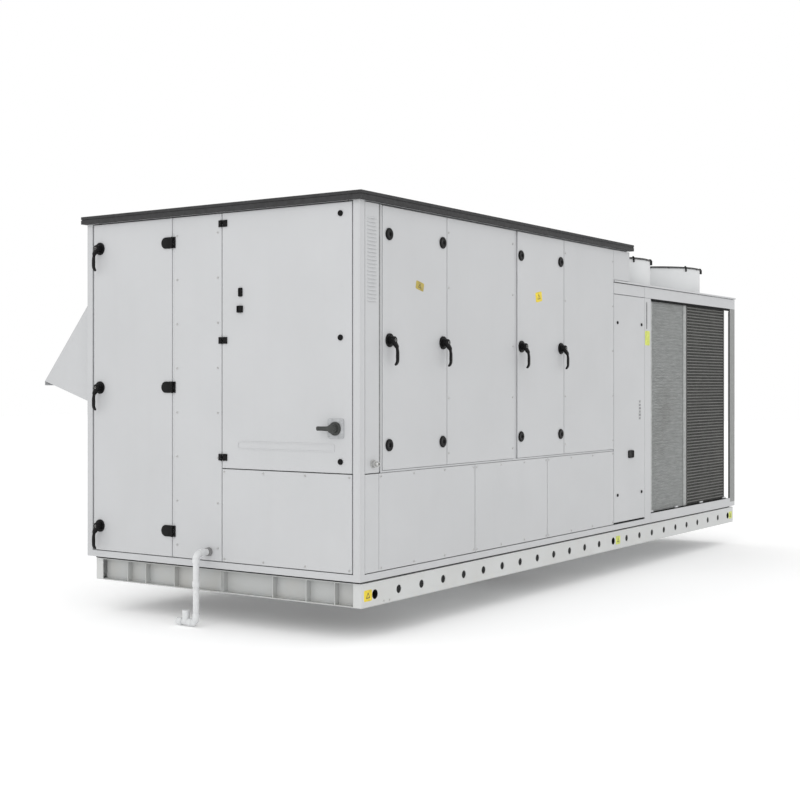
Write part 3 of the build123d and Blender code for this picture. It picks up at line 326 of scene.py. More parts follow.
class Piece:
    """Collects one piece's mesh. Shapes are given in local axes and put in place by self.frame."""

    def __init__(self, *materials):
        self.bm = bmesh.new()
        self.frame = Matrix.Identity(4)
        self.materials = materials
        self.slot = 0

    def vertex(self, point):
        return self.bm.verts.new(self.frame @ Vector(point))

    def face(self, vertices):
        made = self.bm.faces.new(vertices)
        made.material_index = self.slot
        made.smooth = True
        return made

    def box(self, low, high):
        xs, ys, zs = zip(low, high)
        corners = [self.vertex((x, y, z)) for z in zs for y in ys for x in xs]
        for quad in ((0, 2, 3, 1), (4, 5, 7, 6), (0, 1, 5, 4), (2, 6, 7, 3), (0, 4, 6, 2), (1, 3, 7, 5)):
            self.face([corners[i] for i in quad])

    def loft(self, rings, closed=False):
        """Joins rings of points that have the same count; closed joins the last ring to the first."""
        made = [[self.vertex(p) for p in ring] for ring in rings]
        pairs = list(zip(made, made[1:]))
        if closed:
            pairs.append((made[-1], made[0]))
        for low, high in pairs:
            for i in range(len(low)):
                j = (i + 1) % len(low)
                self.face((low[i], low[j], high[j], high[i]))
        if not closed:
            self.face(list(reversed(made[0])))
            self.face(made[-1])

    def lathe(self, profile, segments=40):
        """Turns (radius, height) points round local Z; the first and last ring are closed flat."""
        self.loft([circle(radius, height, segments) for radius, height in profile])

    def hoop(self, profile, segments=64):
        """Turns a closed (radius, height) outline round local Z."""
        turns = circle(1.0, 0.0, segments)
        self.loft([[(r * c, r * s, h) for r, h in profile] for c, s, _ in turns], closed=True)

    def wire_ring(self, radius, thick, height=0.0, sides=6, segments=72):
        """A round wire bent into a ring round local Z."""
        self.hoop([(radius + x, y + height) for x, y, _ in circle(thick, 0.0, sides)], segments)

    def sweep(self, points, section):
        """Sweeps an outline along points; section(i) gives its (side, out) points at point i."""
        points = [Vector(p) for p in points]
        side = None
        rings = []
        for i, point in enumerate(points):
            before, after = points[max(i - 1, 0)], points[min(i + 1, len(points) - 1)]
            along = (after - before).normalized()
            if side is None:
                spare = Vector((1, 0, 0)) if abs(along.x) < 0.9 else Vector((0, 1, 0))
                side = (spare - along * spare.dot(along)).normalized()
            side = (side - along * side.dot(along)).normalized()
            out = along.cross(side)
            rings.append([point + side * a + out * b for a, b in section(i)])
        self.loft(rings)

    def wire(self, points, radius, sides=8):
        section = [(x, y) for x, y, _ in circle(radius, 0.0, sides)]
        self.sweep(points, lambda i: section)

    def rim(self, outer, inner, low, high):
        """A raised rim between two outlines."""
        levels = ((outer, low), (outer, high), (inner, high), (inner, low))
        self.loft([[(x, y, height) for x, y in outline] for outline, height in levels], closed=True)

    def made(self, name, body, replaces=(), bevel=0.0):
        """The finished object, riding on its body."""
        bmesh.ops.recalc_face_normals(self.bm, faces=self.bm.faces)
        for edge in self.bm.edges:
            if len(edge.link_faces) == 2 and edge.calc_face_angle() > SHARP_ANGLE:
                edge.smooth = False
        mesh = bpy.data.meshes.new(name)
        self.bm.to_mesh(mesh)
        self.bm.free()
        for material in self.materials:
            mesh.materials.append(material)
        piece = bpy.data.objects.new(name, mesh)
        bpy.context.scene.collection.objects.link(piece)
        if bevel:
            modifier = piece.modifiers.new("edges", "BEVEL")
            modifier.width = bevel
            modifier.segments = 2
            modifier.limit_method = "ANGLE"
            modifier.angle_limit = SHARP_ANGLE
            modifier.harden_normals = True
        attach(piece, body)
        if replaces:
            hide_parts(*replaces)
        return piece


def smooth_path(points, steps=6):
    """A Catmull-Rom curve through points of any dimension."""
    padded = [points[0], *points, points[-1]]
    curve = []

    def blend(u, a, b, c, d):
        square, cube = 2 * a - 5 * b + 4 * c - d, 3 * b - a - 3 * c + d
        return 0.5 * (2 * b + (c - a) * u + square * u**2 + cube * u**3)

    for corners in zip(padded, padded[1:], padded[2:], padded[3:]):
        for k in range(steps):
            curve.append(tuple(blend(k / steps, *values) for values in zip(*corners)))
    curve.append(tuple(points[-1]))
    return curve


def rounded(width, thickness, count=16, power=3.2):
    """A superellipse outline."""
    outline = []
    for k in range(count):
        angle = math.tau * k / count
        c, s = math.cos(angle), math.sin(angle)
        outline.append((
            width / 2 * math.copysign(abs(c) ** (2 / power), c),
            thickness / 2 * math.copysign(abs(s) ** (2 / power), s),
        ))
    return outline


# ---- camera, light and stage -----------------------------------------------------------------------
def add_camera():
    """A level camera near the corner between the end wall and the front."""
    data = bpy.data.cameras.new("camera")
    data.lens = 60.7
    data.sensor_width = 36.0
    data.shift_y = -0.01875
    data.clip_end = 200.0
    camera = bpy.data.objects.new("camera", data)
    bpy.context.scene.collection.objects.link(camera)
    camera.location = (-9.340, -5.644, 1.294)
    looking = Vector((0.8281, 0.5606, 0.0))
    camera.rotation_mode = "QUATERNION"
    camera.rotation_quaternion = looking.to_track_quat("-Z", "Y")
    bpy.context.scene.camera = camera


def area_light(name, place, target, size, energy):
    """A soft square light."""
    data = bpy.data.lights.new(name, "AREA")
    data.shape = "SQUARE"
    data.size = size
    data.energy = energy
    light = bpy.data.objects.new(name, data)
    bpy.context.scene.collection.objects.link(light)
    light.location = place
    aim = Vector(target) - Vector(place)
    light.rotation_mode = "QUATERNION"
    light.rotation_quaternion = aim.to_track_quat("-Z", "Y")


def add_studio():
    """A pale floor just under the part, even white surroundings and one soft key light."""
    floor_z = cad_box[0].z - 0.004
    bm = bmesh.new()
    bmesh.ops.create_grid(bm, x_segments=8, y_segments=8, size=45.0)
    mesh = bpy.data.meshes.new("floor")
    bm.to_mesh(mesh)
    bm.free()
    floor = bpy.data.objects.new("floor", mesh)
    floor.location = (0, 0, floor_z)
    bpy.context.scene.collection.objects.link(floor)
    n = Nodes("studio_floor")
    colour = n.ramp(n.noise(0.3), ((0.3, 0.94), (0.7, 0.96)))
    n.link(colour, n.shader.inputs["Emission Color"])
    rough = n.ramp(n.noise(0.5), ((0.3, 0.85), (0.7, 0.95)))
    mesh.materials.append(n.done(colour, rough, Emission_Strength=0.16))

    world = bpy.data.worlds.new("studio")
    world.use_nodes = True
    background = world.node_tree.nodes["Background"]
    background.inputs["Color"].default_value = (1.0, 1.0, 1.0, 1.0)
    background.inputs["Strength"].default_value = 1.0
    bpy.context.scene.world = world
    area_light("key", (-14.0, -3.0, 8.0), (0, 0, 1.0), 7.0, 260.0)
    bpy.context.scene.view_settings.view_transform = "Standard"


def mark_faces(node, material, chosen):
    """Gives the faces that chosen(centre) picks another finish."""
    part = frame["nodes"][node]
    mesh = part.data
    mesh.materials.append(material)
    slot = len(mesh.materials) - 1
    for polygon in mesh.polygons:
        if chosen(part.matrix_world @ polygon.center):
            polygon.material_index = slot


# ---- CAD nodes that keep their shape -----------------------------------------------------------------
def paint_cad_nodes():
    """Finishes for the CAD nodes that no piece replaces."""
    finishes = {
        BASE_COAT: ["base_side_rails"],
        # The base's cross members get the darker, painted-shade copy of the base paint.
        BASE_COAT_SHADED: ["base_cross_members"],
        # Painted shade: the lifting sleeves are near-black so their bores read as dark.
        SHADE: ["lifting_sleeves"],
        WHITE_COAT: [
            "casing_frame", "wall_panels", "louvre_panel", "roof_panel", "hood_shell", "condenser_frame",
            "condenser_panels", "fan_deck", "end_door", "control_door", "access_door_a", "access_door_b",
        ],
        SHROUD_COAT: ["fan_shrouds"],
        TRIM_COAT: ["roof_trim"],
        BLACK: ["rail_hole_plugs"],
        ZINC: ["floor_deck", "inner_bulkheads", "supply_fan_mounts", "damper_frame"],
        STAINLESS: ["drain_pan"],
        STEEL: ["panel_fasteners"],
        ALUMINIUM: [f"damper_blade_{i}" for i in (1, 2, 3)],
        RUBBER: ["compressor_feet"],
        COPPER: ["refrigerant_pipes"],
        ENAMEL: ["compressors", "fan_motors"],
        FINS_ALU: ["evaporator_coil"],
    }
    for material, names in finishes.items():
        for name in names:
            mesh = frame["nodes"][name].data
            mesh.materials.clear()
            mesh.materials.append(material)
    # The far posts' faces get the mid grey, darker than the walls.
    far_post, post_foot, post_head = at(5.949, 0, 0).x, 0.196, 2.009
    mark_faces("condenser_frame", POST_GREY, lambda c: c.x > far_post and post_foot < c.z < post_head)
    # Painted shade: the floor deck's outer edge faces are made near-black, standing in for the shadow gap
    # under the casing.
    low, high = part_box("floor_deck")
    rim = 0.001
    mark_faces("floor_deck", SHADE, lambda c: min(*(c - low).xy, *(high - c).xy) < rim)


# ---- doors' handles, locks and hinges ----------------------------------------------------------------
JOINTS = {joint["name"]: joint for joint in frame["record"]["behaviour"]["joints"]}
MOUNTS = {mount["name"]: mount for mount in frame["record"]["mounts"]}
LEVELS = ("low", "middle", "high")
ROSETTE_RADIUS = 0.041
ROSETTE_HEIGHT = 0.010
KNOB_RADIUS = 0.037


def place_of(joint_name):
    """Where a joint's axis stands."""
    return Vector(JOINTS[joint_name]["pos_m"])


def facing_front(point):
    """Front-wall axes whose centre is level with a point."""
    return front_frame(point.x - WALLS_LOW.x, point.z)


def facing_end(point):
    """End-wall axes whose centre is level with a point."""
    return end_frame(point.y - WALLS_LOW.y, point.z)


def disc_profile(radius, height, edge):
    """A turned disc with a rounded rim."""
    profile = [(radius, 0.0), (radius, height - edge)]
    for k in range(1, 5):
        angle = math.pi / 2 * k / 4
        profile.append((radius - edge + edge * math.cos(angle), height - edge + edge * math.sin(angle)))
    return profile


def add_rosette(piece):
    """The round plate under a lever, with its two screws."""
    home = piece.frame
    piece.lathe(disc_profile(ROSETTE_RADIUS, ROSETTE_HEIGHT, 0.003))
    for side in (-1, 1):
        piece.frame = home @ moved((0, side * 0.031, ROSETTE_HEIGHT - 0.0004))
        piece.lathe([(0.0048, 0.0), (0.0048, 0.0012), (0.0024, 0.0012), (0.0022, 0.0002)], 12)


def lever(name, body, home):
    """A turned hub with a lock cylinder and a forged arm that cranks out, hangs down and hooks back.

    The body and the node it replaces have the same name."""
    piece = Piece(BLACK, STEEL)
    piece.frame = home
    base = ROSETTE_HEIGHT + 0.0005
    piece.lathe([
        (0.0252, base), (0.0252, base + 0.004), (0.0235, base + 0.006), (0.0235, base + 0.027),
        (0.0225, base + 0.031), (0.0195, base + 0.0345), (0.0150, base + 0.036),
    ], 36)
    line = smooth_path([
        (-0.006, 0.034, 0.038, 0.022), (-0.024, 0.043, 0.036, 0.024), (-0.038, 0.053, 0.030, 0.022),
        (-0.050, 0.057, 0.021, 0.014), (-0.072, 0.0602, 0.024, 0.014), (-0.098, 0.0602, 0.026, 0.014),
        (-0.122, 0.0600, 0.025, 0.013), (-0.136, 0.055, 0.024, 0.013), (-0.146, 0.047, 0.021, 0.011),
        (-0.149, 0.043, 0.012, 0.006),
    ])
    piece.sweep([(0.0, y, z) for y, z, width, depth in line], lambda i: rounded(line[i][2], line[i][3]))
    piece.slot = 1
    piece.frame = home @ moved((0, 0, base + 0.0355))
    piece.lathe([(0.0085, 0.0), (0.0085, 0.0012), (0.0070, 0.0012), (0.0068, 0.0004)], 24)
    piece.slot = 0
    piece.box((-0.0009, -0.0045, 0.0), (0.0009, 0.0045, 0.0010))
    piece.made(name, body, (body,))


def add_round_knob(piece, home):
    """A captive hand screw: a flat ribbed disc with a round recess."""
    rim = ((0.0355, 0.0), (0.0368, 0.0015), (0.0368, 0.0060), (0.0345, 0.0088), (0.031, 0.0098))
    recess = ((0.014, 0.0094), (0.012, 0.0080), (0.0115, 0.0045))
    piece.frame = home
    piece.loft(
        [ribbed_circle(radius, height, 0.0006) for radius, height in rim]
        + [circle(radius, height, 96) for radius, height in recess]
    )


def access_door_hardware(door):
    """Four round knobs and two levers on their rosettes."""
    body = f"access_door_{door}"
    low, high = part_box(f"{body}_fittings")
    knobs = Piece(BLACK)
    # The right-hand rosettes are wider than the knobs above them and stand this far past their rims.
    past_knobs = 0.0075
    for s in (low.x + KNOB_RADIUS, high.x - KNOB_RADIUS - past_knobs):
        for z in (low.z + KNOB_RADIUS, high.z - KNOB_RADIUS):
            add_round_knob(knobs, facing_front(Vector((s, 0, z))))
    for side in ("left", "right"):
        knobs.frame = facing_front(place_of(f"lever_{door}_{side}_turn"))
        add_rosette(knobs)
    knobs.made(f"{body}_hardware", body, (f"{body}_fittings",))
    for side in ("left", "right"):
        home = facing_front(place_of(f"lever_{door}_{side}_turn"))
        lever(f"{door}_{side}_lever", f"lever_{door}_{side}", home)


def add_screw(piece, home, radius=0.004, height=0.002):
    """A pan-head screw with a round recess."""
    piece.frame = home
    piece.lathe([
        (radius, 0.0), (radius, height * 0.4), (radius * 0.85, height * 0.85), (radius * 0.55, height),
        (radius * 0.5, height * 0.3),
    ], 12)


KNUCKLE = 0.0075
HINGE_GAP = 0.0006
LEAF_START = 0.0105


def leaf_outline(reach, height, round_end):
    """A hinge leaf seen from the front, from its knuckles out to its square or round end."""
    half = height / 2
    if not round_end:
        return [(LEAF_START, -half), (reach, -half), (reach, half), (LEAF_START, half)]
    steps = [math.pi * k / 18 for k in range(1, 18)]
    bow = [(reach + half * math.sin(angle), -half * math.cos(angle)) for angle in steps]
    return [(LEAF_START, -half), (reach, -half), *bow, (reach, half), (LEAF_START, half)]


def hinge_pair(moving, fixed, pin, z, height, side, reach, round_end):
    """One hinge: knuckles on the pin line, a leaf on the door and a narrow root on the wall.

    side is +1 when the door lies towards +Y of the pin."""
    third = height / 3
    for piece, spans in (
        (fixed, ((-height / 2, third - HINGE_GAP), (third / 2, third - HINGE_GAP))),
        (moving, ((-third / 2 + HINGE_GAP, third - 2 * HINGE_GAP),)),
    ):
        for start, length in spans:
            piece.frame = moved((pin.x, pin.y, z + start))
            ends = ((KNUCKLE, 0.0008), (KNUCKLE, length - 0.0008))
            piece.lathe([(KNUCKLE - 0.0008, 0.0), *ends, (KNUCKLE - 0.0008, length)], 24)
    home = end_frame(pin.y - WALLS_LOW.y, z)
    moving.frame = home
    middle = Vector(((LEAF_START + reach) / 2, 0.0))
    rings = []
    for inset, lift in ((0.0, 0.0002), (0.0, 0.0060), (0.0012, 0.0078), (0.0035, 0.0082)):
        ring = []
        for corner in leaf_outline(reach, height, round_end):
            from_middle = Vector(corner) - middle
            shrunk = from_middle * (1 - inset / max(from_middle.length, 0.001))
            ring.append((-side * (middle.x + shrunk.x), shrunk.y, lift))
        rings.append(ring)
    moving.loft(rings)
    arm = sorted((-side * 0.002, -side * (LEAF_START + 0.002)))
    moving.box((arm[0], -third / 2 + HINGE_GAP, 0.0018), (arm[1], third / 2 - HINGE_GAP, 0.0062))
    fixed.frame = home
    root = sorted((side * 0.0095, side * 0.0235))
    fixed.box((root[0], -height / 2 + 0.0005, 0.0002), (root[1], height / 2 - 0.0005, 0.0062))
    arm = sorted((side * 0.002, side * 0.0115))
    for start in (-height / 2, third / 2):
        fixed.box((arm[0], start + 0.0005, 0.0018), (arm[1], start + third - HINGE_GAP, 0.0060))
    for y in (-height * 0.27, height * 0.27):
        add_screw(moving, home @ moved((-side * (LEAF_START + reach) / 2, y, 0.0080)), 0.0042, 0.0016)
        add_screw(fixed, home @ moved((side * 0.0168, y, 0.0060)), 0.0030, 0.0012)


def add_isolator_plate(piece):
    """The isolator's square plate with four screws, and the dark collar round its shaft."""
    home = facing_end(place_of("isolator_turn"))
    piece.frame = home
    piece.slot = 1
    plate = rounded(0.117, 0.117, 48, 9.0)
    piece.loft(stack(plate, ((1.0, 0.0), (1.0, 0.005), (0.985, 0.0075), (0.96, 0.008))))
    for x in (-0.048, 0.048):
        for y in (-0.048, 0.048):
            add_screw(piece, home @ moved((x, y, 0.0079)), 0.0042, 0.0014)
    piece.frame = home @ moved((0, 0, 0.008))
    piece.slot = 2
    piece.lathe([(0.040, 0.0), (0.040, 0.010), (0.037, 0.0145), (0.031, 0.016)], 48)


def add_service_ports(piece):
    """Two small sockets on the control door, one above the other."""
    piece.slot = 0
    for t, z, width, height, depth in (
        (0.900, 1.863, 0.030, 0.054, 0.010),
        (0.903, 1.759, 0.043, 0.043, 0.014),
    ):
        piece.frame = end_frame(t, z)
        levels = ((1.0, 0.0), (1.0, depth - 0.002), (0.93, depth), (0.72, depth), (0.66, depth - 0.004))
        piece.loft(stack(rounded(width, height, 32, 8.0), levels))


def add_service_fittings(piece):
    """Four locks and a recessed pull on the service panel of each long side."""
    lock = disc_profile(0.0124, 0.0060, 0.0015)[:-1] + [(0.010, 0.0059), (0.006, 0.0055), (0.0055, 0.003)]
    lock_spots = [(s, z) for s in (3.472, 3.929) for z in (0.424, 1.786)]
    pull = rounded(0.100, 0.062, 40, 7.0)
    levels = ((1.0, 0.0), (1.0, 0.007), (0.96, 0.0098), (0.84, 0.0098), (0.78, 0.004), (0.5, 0.0032))
    for wall in (front_frame, back_frame):
        for s, z in lock_spots:
            piece.frame = wall(s, z)
            piece.lathe(lock, 28)
        piece.frame = wall(3.720, 0.739)
        piece.loft(stack(pull, levels))


def end_wall_hardware():
    """Hinges, rosettes and levers of the end wall's two doors, and what else is black beside them."""
    fixed = Piece(BLACK)
    end_moving = Piece(BLACK)
    control_moving = Piece(BLACK, LIGHT_GREY, DARK_GREY)
    end_pin, control_pin = place_of("end_door_swing"), place_of("control_door_swing")
    for level in LEVELS:
        point = place_of(f"end_lever_{level}_turn")
        hinge_pair(end_moving, fixed, end_pin, point.z + 0.003, 0.072, 1, 0.060, True)
        end_moving.frame = facing_end(point)
        add_rosette(end_moving)
    for level in LEVELS:
        lock = place_of(f"control_lock_{level}_turn")
        hinge_pair(control_moving, fixed, control_pin, lock.z, 0.042, -1, 0.0445, False)
    add_isolator_plate(control_moving)
    add_service_ports(control_moving)
    add_service_fittings(fixed)
    fixed.made("hinge_roots_and_service_locks", "unit", ("fixed_fittings",))
    end_moving.made("end_door_hardware", "end_door", ("end_door_fittings",))
    control_moving.made("control_door_hardware", "control_door", ("control_door_fittings",))
    for level in LEVELS:
        lever(f"end_{level}_lever", f"end_lever_{level}", facing_end(place_of(f"end_lever_{level}_turn")))


def isolator_handle():
    """The isolator's knob and its tapering lever, which points along the plate."""
    piece = Piece(DARK_GREY)
    home = facing_end(place_of("isolator_turn"))
    piece.frame = home
    piece.lathe([(0.0265, 0.0245), (0.0265, 0.050), (0.0250, 0.056), (0.020, 0.0604)], 40)
    line = smooth_path([
        (0.020, 0.030, 0.020), (0.0, 0.036, 0.022), (-0.030, 0.029, 0.022), (-0.070, 0.026, 0.022),
        (-0.096, 0.026, 0.020), (-0.104, 0.018, 0.012),
    ])
    piece.sweep(
        [(x, 0.0, 0.0515) for x, width, depth in line],
        lambda i: [(a, b) for b, a in rounded(line[i][2], line[i][1])],
    )
    piece.box((-0.0105, -0.004, 0.0600), (0.0105, 0.004, 0.0612))
    piece.made("isolator_lever", "isolator", ("isolator_handle",), bevel=0.0006)


def control_locks():
    """Quarter-turn locks: a slotted disc outside, a shaft through the door and a cam behind it."""
    disc = [(0.0172, 0.0006), (0.0172, 0.006), (0.0160, 0.0080), (0.0125, 0.0084), (0.0118, 0.0062)]
    for level in LEVELS:
        piece = Piece(BLACK, STEEL)
        home = facing_end(place_of(f"control_lock_{level}_turn"))
        piece.frame = home
        piece.lathe(disc, 36)
        piece.box((-0.0110, -0.0016, 0.0058), (0.0110, 0.0016, 0.0078))
        piece.slot = 1
        piece.frame = home @ moved((0, 0, -0.0400))
        piece.lathe([(0.0096, 0.0), (0.0108, 0.0012), (0.0108, 0.0406)], 28)
        piece.frame = home
        piece.box((-0.009, -0.009, -0.0395), (0.0268, 0.009, -0.0367))
        piece.made(f"control_{level}_quarter_turn", f"control_lock_{level}", (f"control_lock_{level}",))


def door_gaskets():
    """A soft seal round the back of every door that closes on the casing's frame."""
    width, from_edge, level = 0.012, 0.009, 0.0452
    section = ((0.0, 0.0), (0.003, 0.0014), (width - 0.003, 0.0014), (width, 0.0))
    for door in ("end_door", "access_door_a", "access_door_b"):
        low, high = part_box(door)
        on_end = door == "end_door"
        piece = Piece(RUBBER)
        rings = []
        for inward, depth in section:
            edge, back = from_edge + inward, level + depth
            z0, z1 = low.z + edge, high.z - edge
            if on_end:
                y0, y1, x = low.y + edge, high.y - edge, low.x + back
                rings.append([(x, y0, z0), (x, y1, z0), (x, y1, z1), (x, y0, z1)])
            else:
                x0, x1, y = low.x + edge, high.x - edge, low.y + back
                rings.append([(x0, y, z0), (x1, y, z0), (x1, y, z1), (x0, y, z1)])
        piece.loft(rings, closed=True)
        piece.made(f"{door}_seal", door)


# ---- condenser section -----------------------------------------------------------------------------
SHROUD_RADIUS = 0.450


def fan_spots():
    """Each condenser fan's number and the centre of its axis."""
    for index in (1, 2, 3, 4):
        yield index, place_of(f"fan_{index}_spin")


def fan_guards():
    """Welded wire guards: rings and spokes, the outer ones bent down over the rim, and their clips."""
    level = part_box("fan_guards")[1].z - 0.0022
    wires, clips = Piece(GUARD), Piece(BLACK)
    radii = [0.447 - 0.0325 * k for k in range(13)]
    spokes = 8
    spoke = (
        (0.055, -0.0012), (0.25, -0.0012), (0.440, -0.0012),
        (0.4515, -0.0035), (0.4565, -0.012), (0.4568, -0.023),
    )
    clip = [(0.440, 0.0, 0.0008), (0.4540, 0.0, 0.0004), (0.4585, 0.0, -0.008), (0.4585, 0.0, -0.041)]
    for index, centre in fan_spots():
        home = moved((centre.x, centre.y, level))
        wires.frame = home
        for radius in radii:
            wires.wire_ring(radius, 0.0019)
        for c, s, _ in circle(1.0, 0.0, spokes):
            wires.wire([(r * c, r * s, h) for r, h in spoke], 0.0017, 6)
        wires.wire_ring(0.4535, 0.0034, -0.0045, 8, 96)
        wires.wire_ring(0.4560, 0.0026, -0.0125, 8, 96)
        for k in range(spokes):
            clips.frame = home @ Matrix.Rotation(math.tau * (k + 0.5) / spokes, 4, "Z")
            clips.sweep(clip, lambda i: rounded(0.0020, 0.021, 8, 8.0))
            add_screw(clips, clips.frame @ moved((0.446, 0.0, 0.0008)), 0.0038, 0.0012)
    wires.made("condenser_fan_wire_guards", "unit", ("fan_guards",))
    clips.made("guard_clips", "unit")


def fan_shrouds():
    """Spun rings: an outer skirt with a rolled rim and an inner bell mouth round the blades."""
    low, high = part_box("fan_shrouds")
    height = high.z - low.z
    roll, bend = 0.0048, 0.012
    skirt = [(SHROUD_RADIUS + 0.004, 0.0), (SHROUD_RADIUS + 0.004, 0.003), (SHROUD_RADIUS, 0.006)]
    skirt.append((SHROUD_RADIUS, height - 0.010))
    rim = []
    for k in range(9):
        angle = math.radians(-10 + 200 * k / 8)
        rim.append((
            SHROUD_RADIUS - 0.0008 + roll * math.cos(angle), height - 0.0050 + roll * math.sin(angle),
        ))
    inner = [(SHROUD_RADIUS - 0.004, height - 0.010), (SHROUD_RADIUS - 0.004, 0.009), (0.432, 0.006)]
    turns = [math.radians(degrees) for degrees in (0, 30, 60, 90)]
    bell = [(0.420 - bend * math.sin(a), 0.018 - bend * math.cos(a)) for a in turns]
    throat = [(0.4078, 0.128), (0.4042, 0.130), (0.4042, 0.0)]
    piece = Piece(SHROUD_COAT)
    for index, centre in fan_spots():
        piece.frame = moved((centre.x, centre.y, low.z))
        piece.hoop(skirt + rim + inner + bell + throat, 96)
    piece.made("condenser_fan_shrouds", "unit", ("fan_shrouds",))


def blade_ring(start, u):
    """The blade's outline at the share u of the way from the hub to the tip."""
    hub, tip, points = 0.080, 0.3925, 15
    radius = hub + (tip - hub) * u
    chord = 0.115 + 0.105 * math.sin(math.pi * min(1.0, u * 0.62 + 0.12)) - 0.05 * u**4
    pitch = math.radians(33 - 15 * u)
    sweep = 0.34 * u**1.6
    ring = []
    for side in (1, -1):
        for m in range(points):
            v = m / (points - 1)
            v = v if side == 1 else 1 - v
            thick = 0.0024 * math.sqrt(max(0.0, 1 - (2 * v - 1) ** 4)) + 0.0003
            along = (v - 0.5) * chord
            across = 0.011 * math.sin(math.pi * v) + side * thick
            tangent = along * math.cos(pitch) - across * math.sin(pitch)
            lift = along * math.sin(pitch) + across * math.cos(pitch)
            angle = start + sweep + tangent / radius
            ring.append((radius * math.cos(angle), radius * math.sin(angle), lift - 0.004))
    return ring


def fan_rotors():
    """Five swept, twisted blades on a ribbed hub."""
    bore, blades, screws, screw_reach = 0.0124, 5, 6, 0.046
    for index, centre in fan_spots():
        low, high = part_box(f"fan_rotor_{index}")
        piece = Piece(BLADE_COAT, STEEL)
        home = moved((centre.x, centre.y, (low.z + high.z) / 2))
        piece.frame = home
        half = (high.z - low.z) / 2 - 0.001
        piece.hoop([
            (bore, -half), (0.078, -half), (0.084, -half + 0.006),
            (0.084, half - 0.010), (0.078, half - 0.003), (0.060, half),
            (0.030, half), (0.028, half - 0.006), (bore, half - 0.006),
        ], 64)
        for blade in range(blades):
            piece.loft([blade_ring(math.tau * blade / blades, k / 12) for k in range(13)])
        piece.slot = 1
        for spot in circle(screw_reach, half - 0.0003, screws):
            add_screw(piece, home @ moved(spot), 0.0045, 0.0012)
        piece.made(f"condenser_fan_{index}", f"fan_rotor_{index}", (f"fan_rotor_{index}",))


COIL_DEPTH = 0.050
TUBE_PITCH = 0.0264


def add_slab(piece, wall, x, depth, z):
    """A block between two depths measured from wall, a (y, inward direction) pair."""
    near, inward = wall
    y = sorted((near + inward * depth[0], near + inward * depth[1]))
    piece.box((x[0], y[0], z[0]), (x[1], y[1], z[1]))


def coil(node, name, plate, fin_pitch, core, tube_finish, tube_radius, tube_depth):
    """Coils on both sides: end plates, upright fins and level tubes at one pitch."""
    low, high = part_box(node)
    piece = Piece(COIL_PLATE if plate > COIL_DEPTH else core, core, tube_finish)
    inner = (low.x + plate + 0.001, high.x - plate - 0.001)
    fin = fin_pitch * 0.19
    rows = int((high.z - low.z - 0.012) / TUBE_PITCH)
    first_row = (low.z + high.z) / 2 - (rows - 1) * TUBE_PITCH / 2
    for wall in ((low.y, 1), (high.y, -1)):
        piece.slot = 0
        for x in ((low.x + 0.0005, low.x + plate), (high.x - plate, high.x - 0.0005)):
            add_slab(piece, wall, x, (0.0, COIL_DEPTH), (low.z, high.z))
        for z in ((low.z, low.z + 0.004), (high.z - 0.004, high.z)):
            add_slab(piece, wall, inner, (0.0035, COIL_DEPTH - 0.003), z)
        piece.slot = 1
        add_slab(piece, wall, inner, (0.0125, COIL_DEPTH - 0.012), (low.z + 0.004, high.z - 0.004))
        for k in range(int((inner[1] - inner[0]) / fin_pitch)):
            x = inner[0] + (k + 0.5) * fin_pitch
            add_slab(piece, wall, (x - fin, x + fin), (0.004, 0.0125), (low.z + 0.005, high.z - 0.005))
        piece.slot = 2
        y = wall[0] + wall[1] * tube_depth
        for k in range(rows):
            z = first_row + k * TUBE_PITCH
            piece.wire([(inner[0], y, z), (inner[1], y, z)], tube_radius, 8)
    piece.made(name, "unit", (node,))


DRAIN_T = 1.157
DRAIN_Z = 0.255


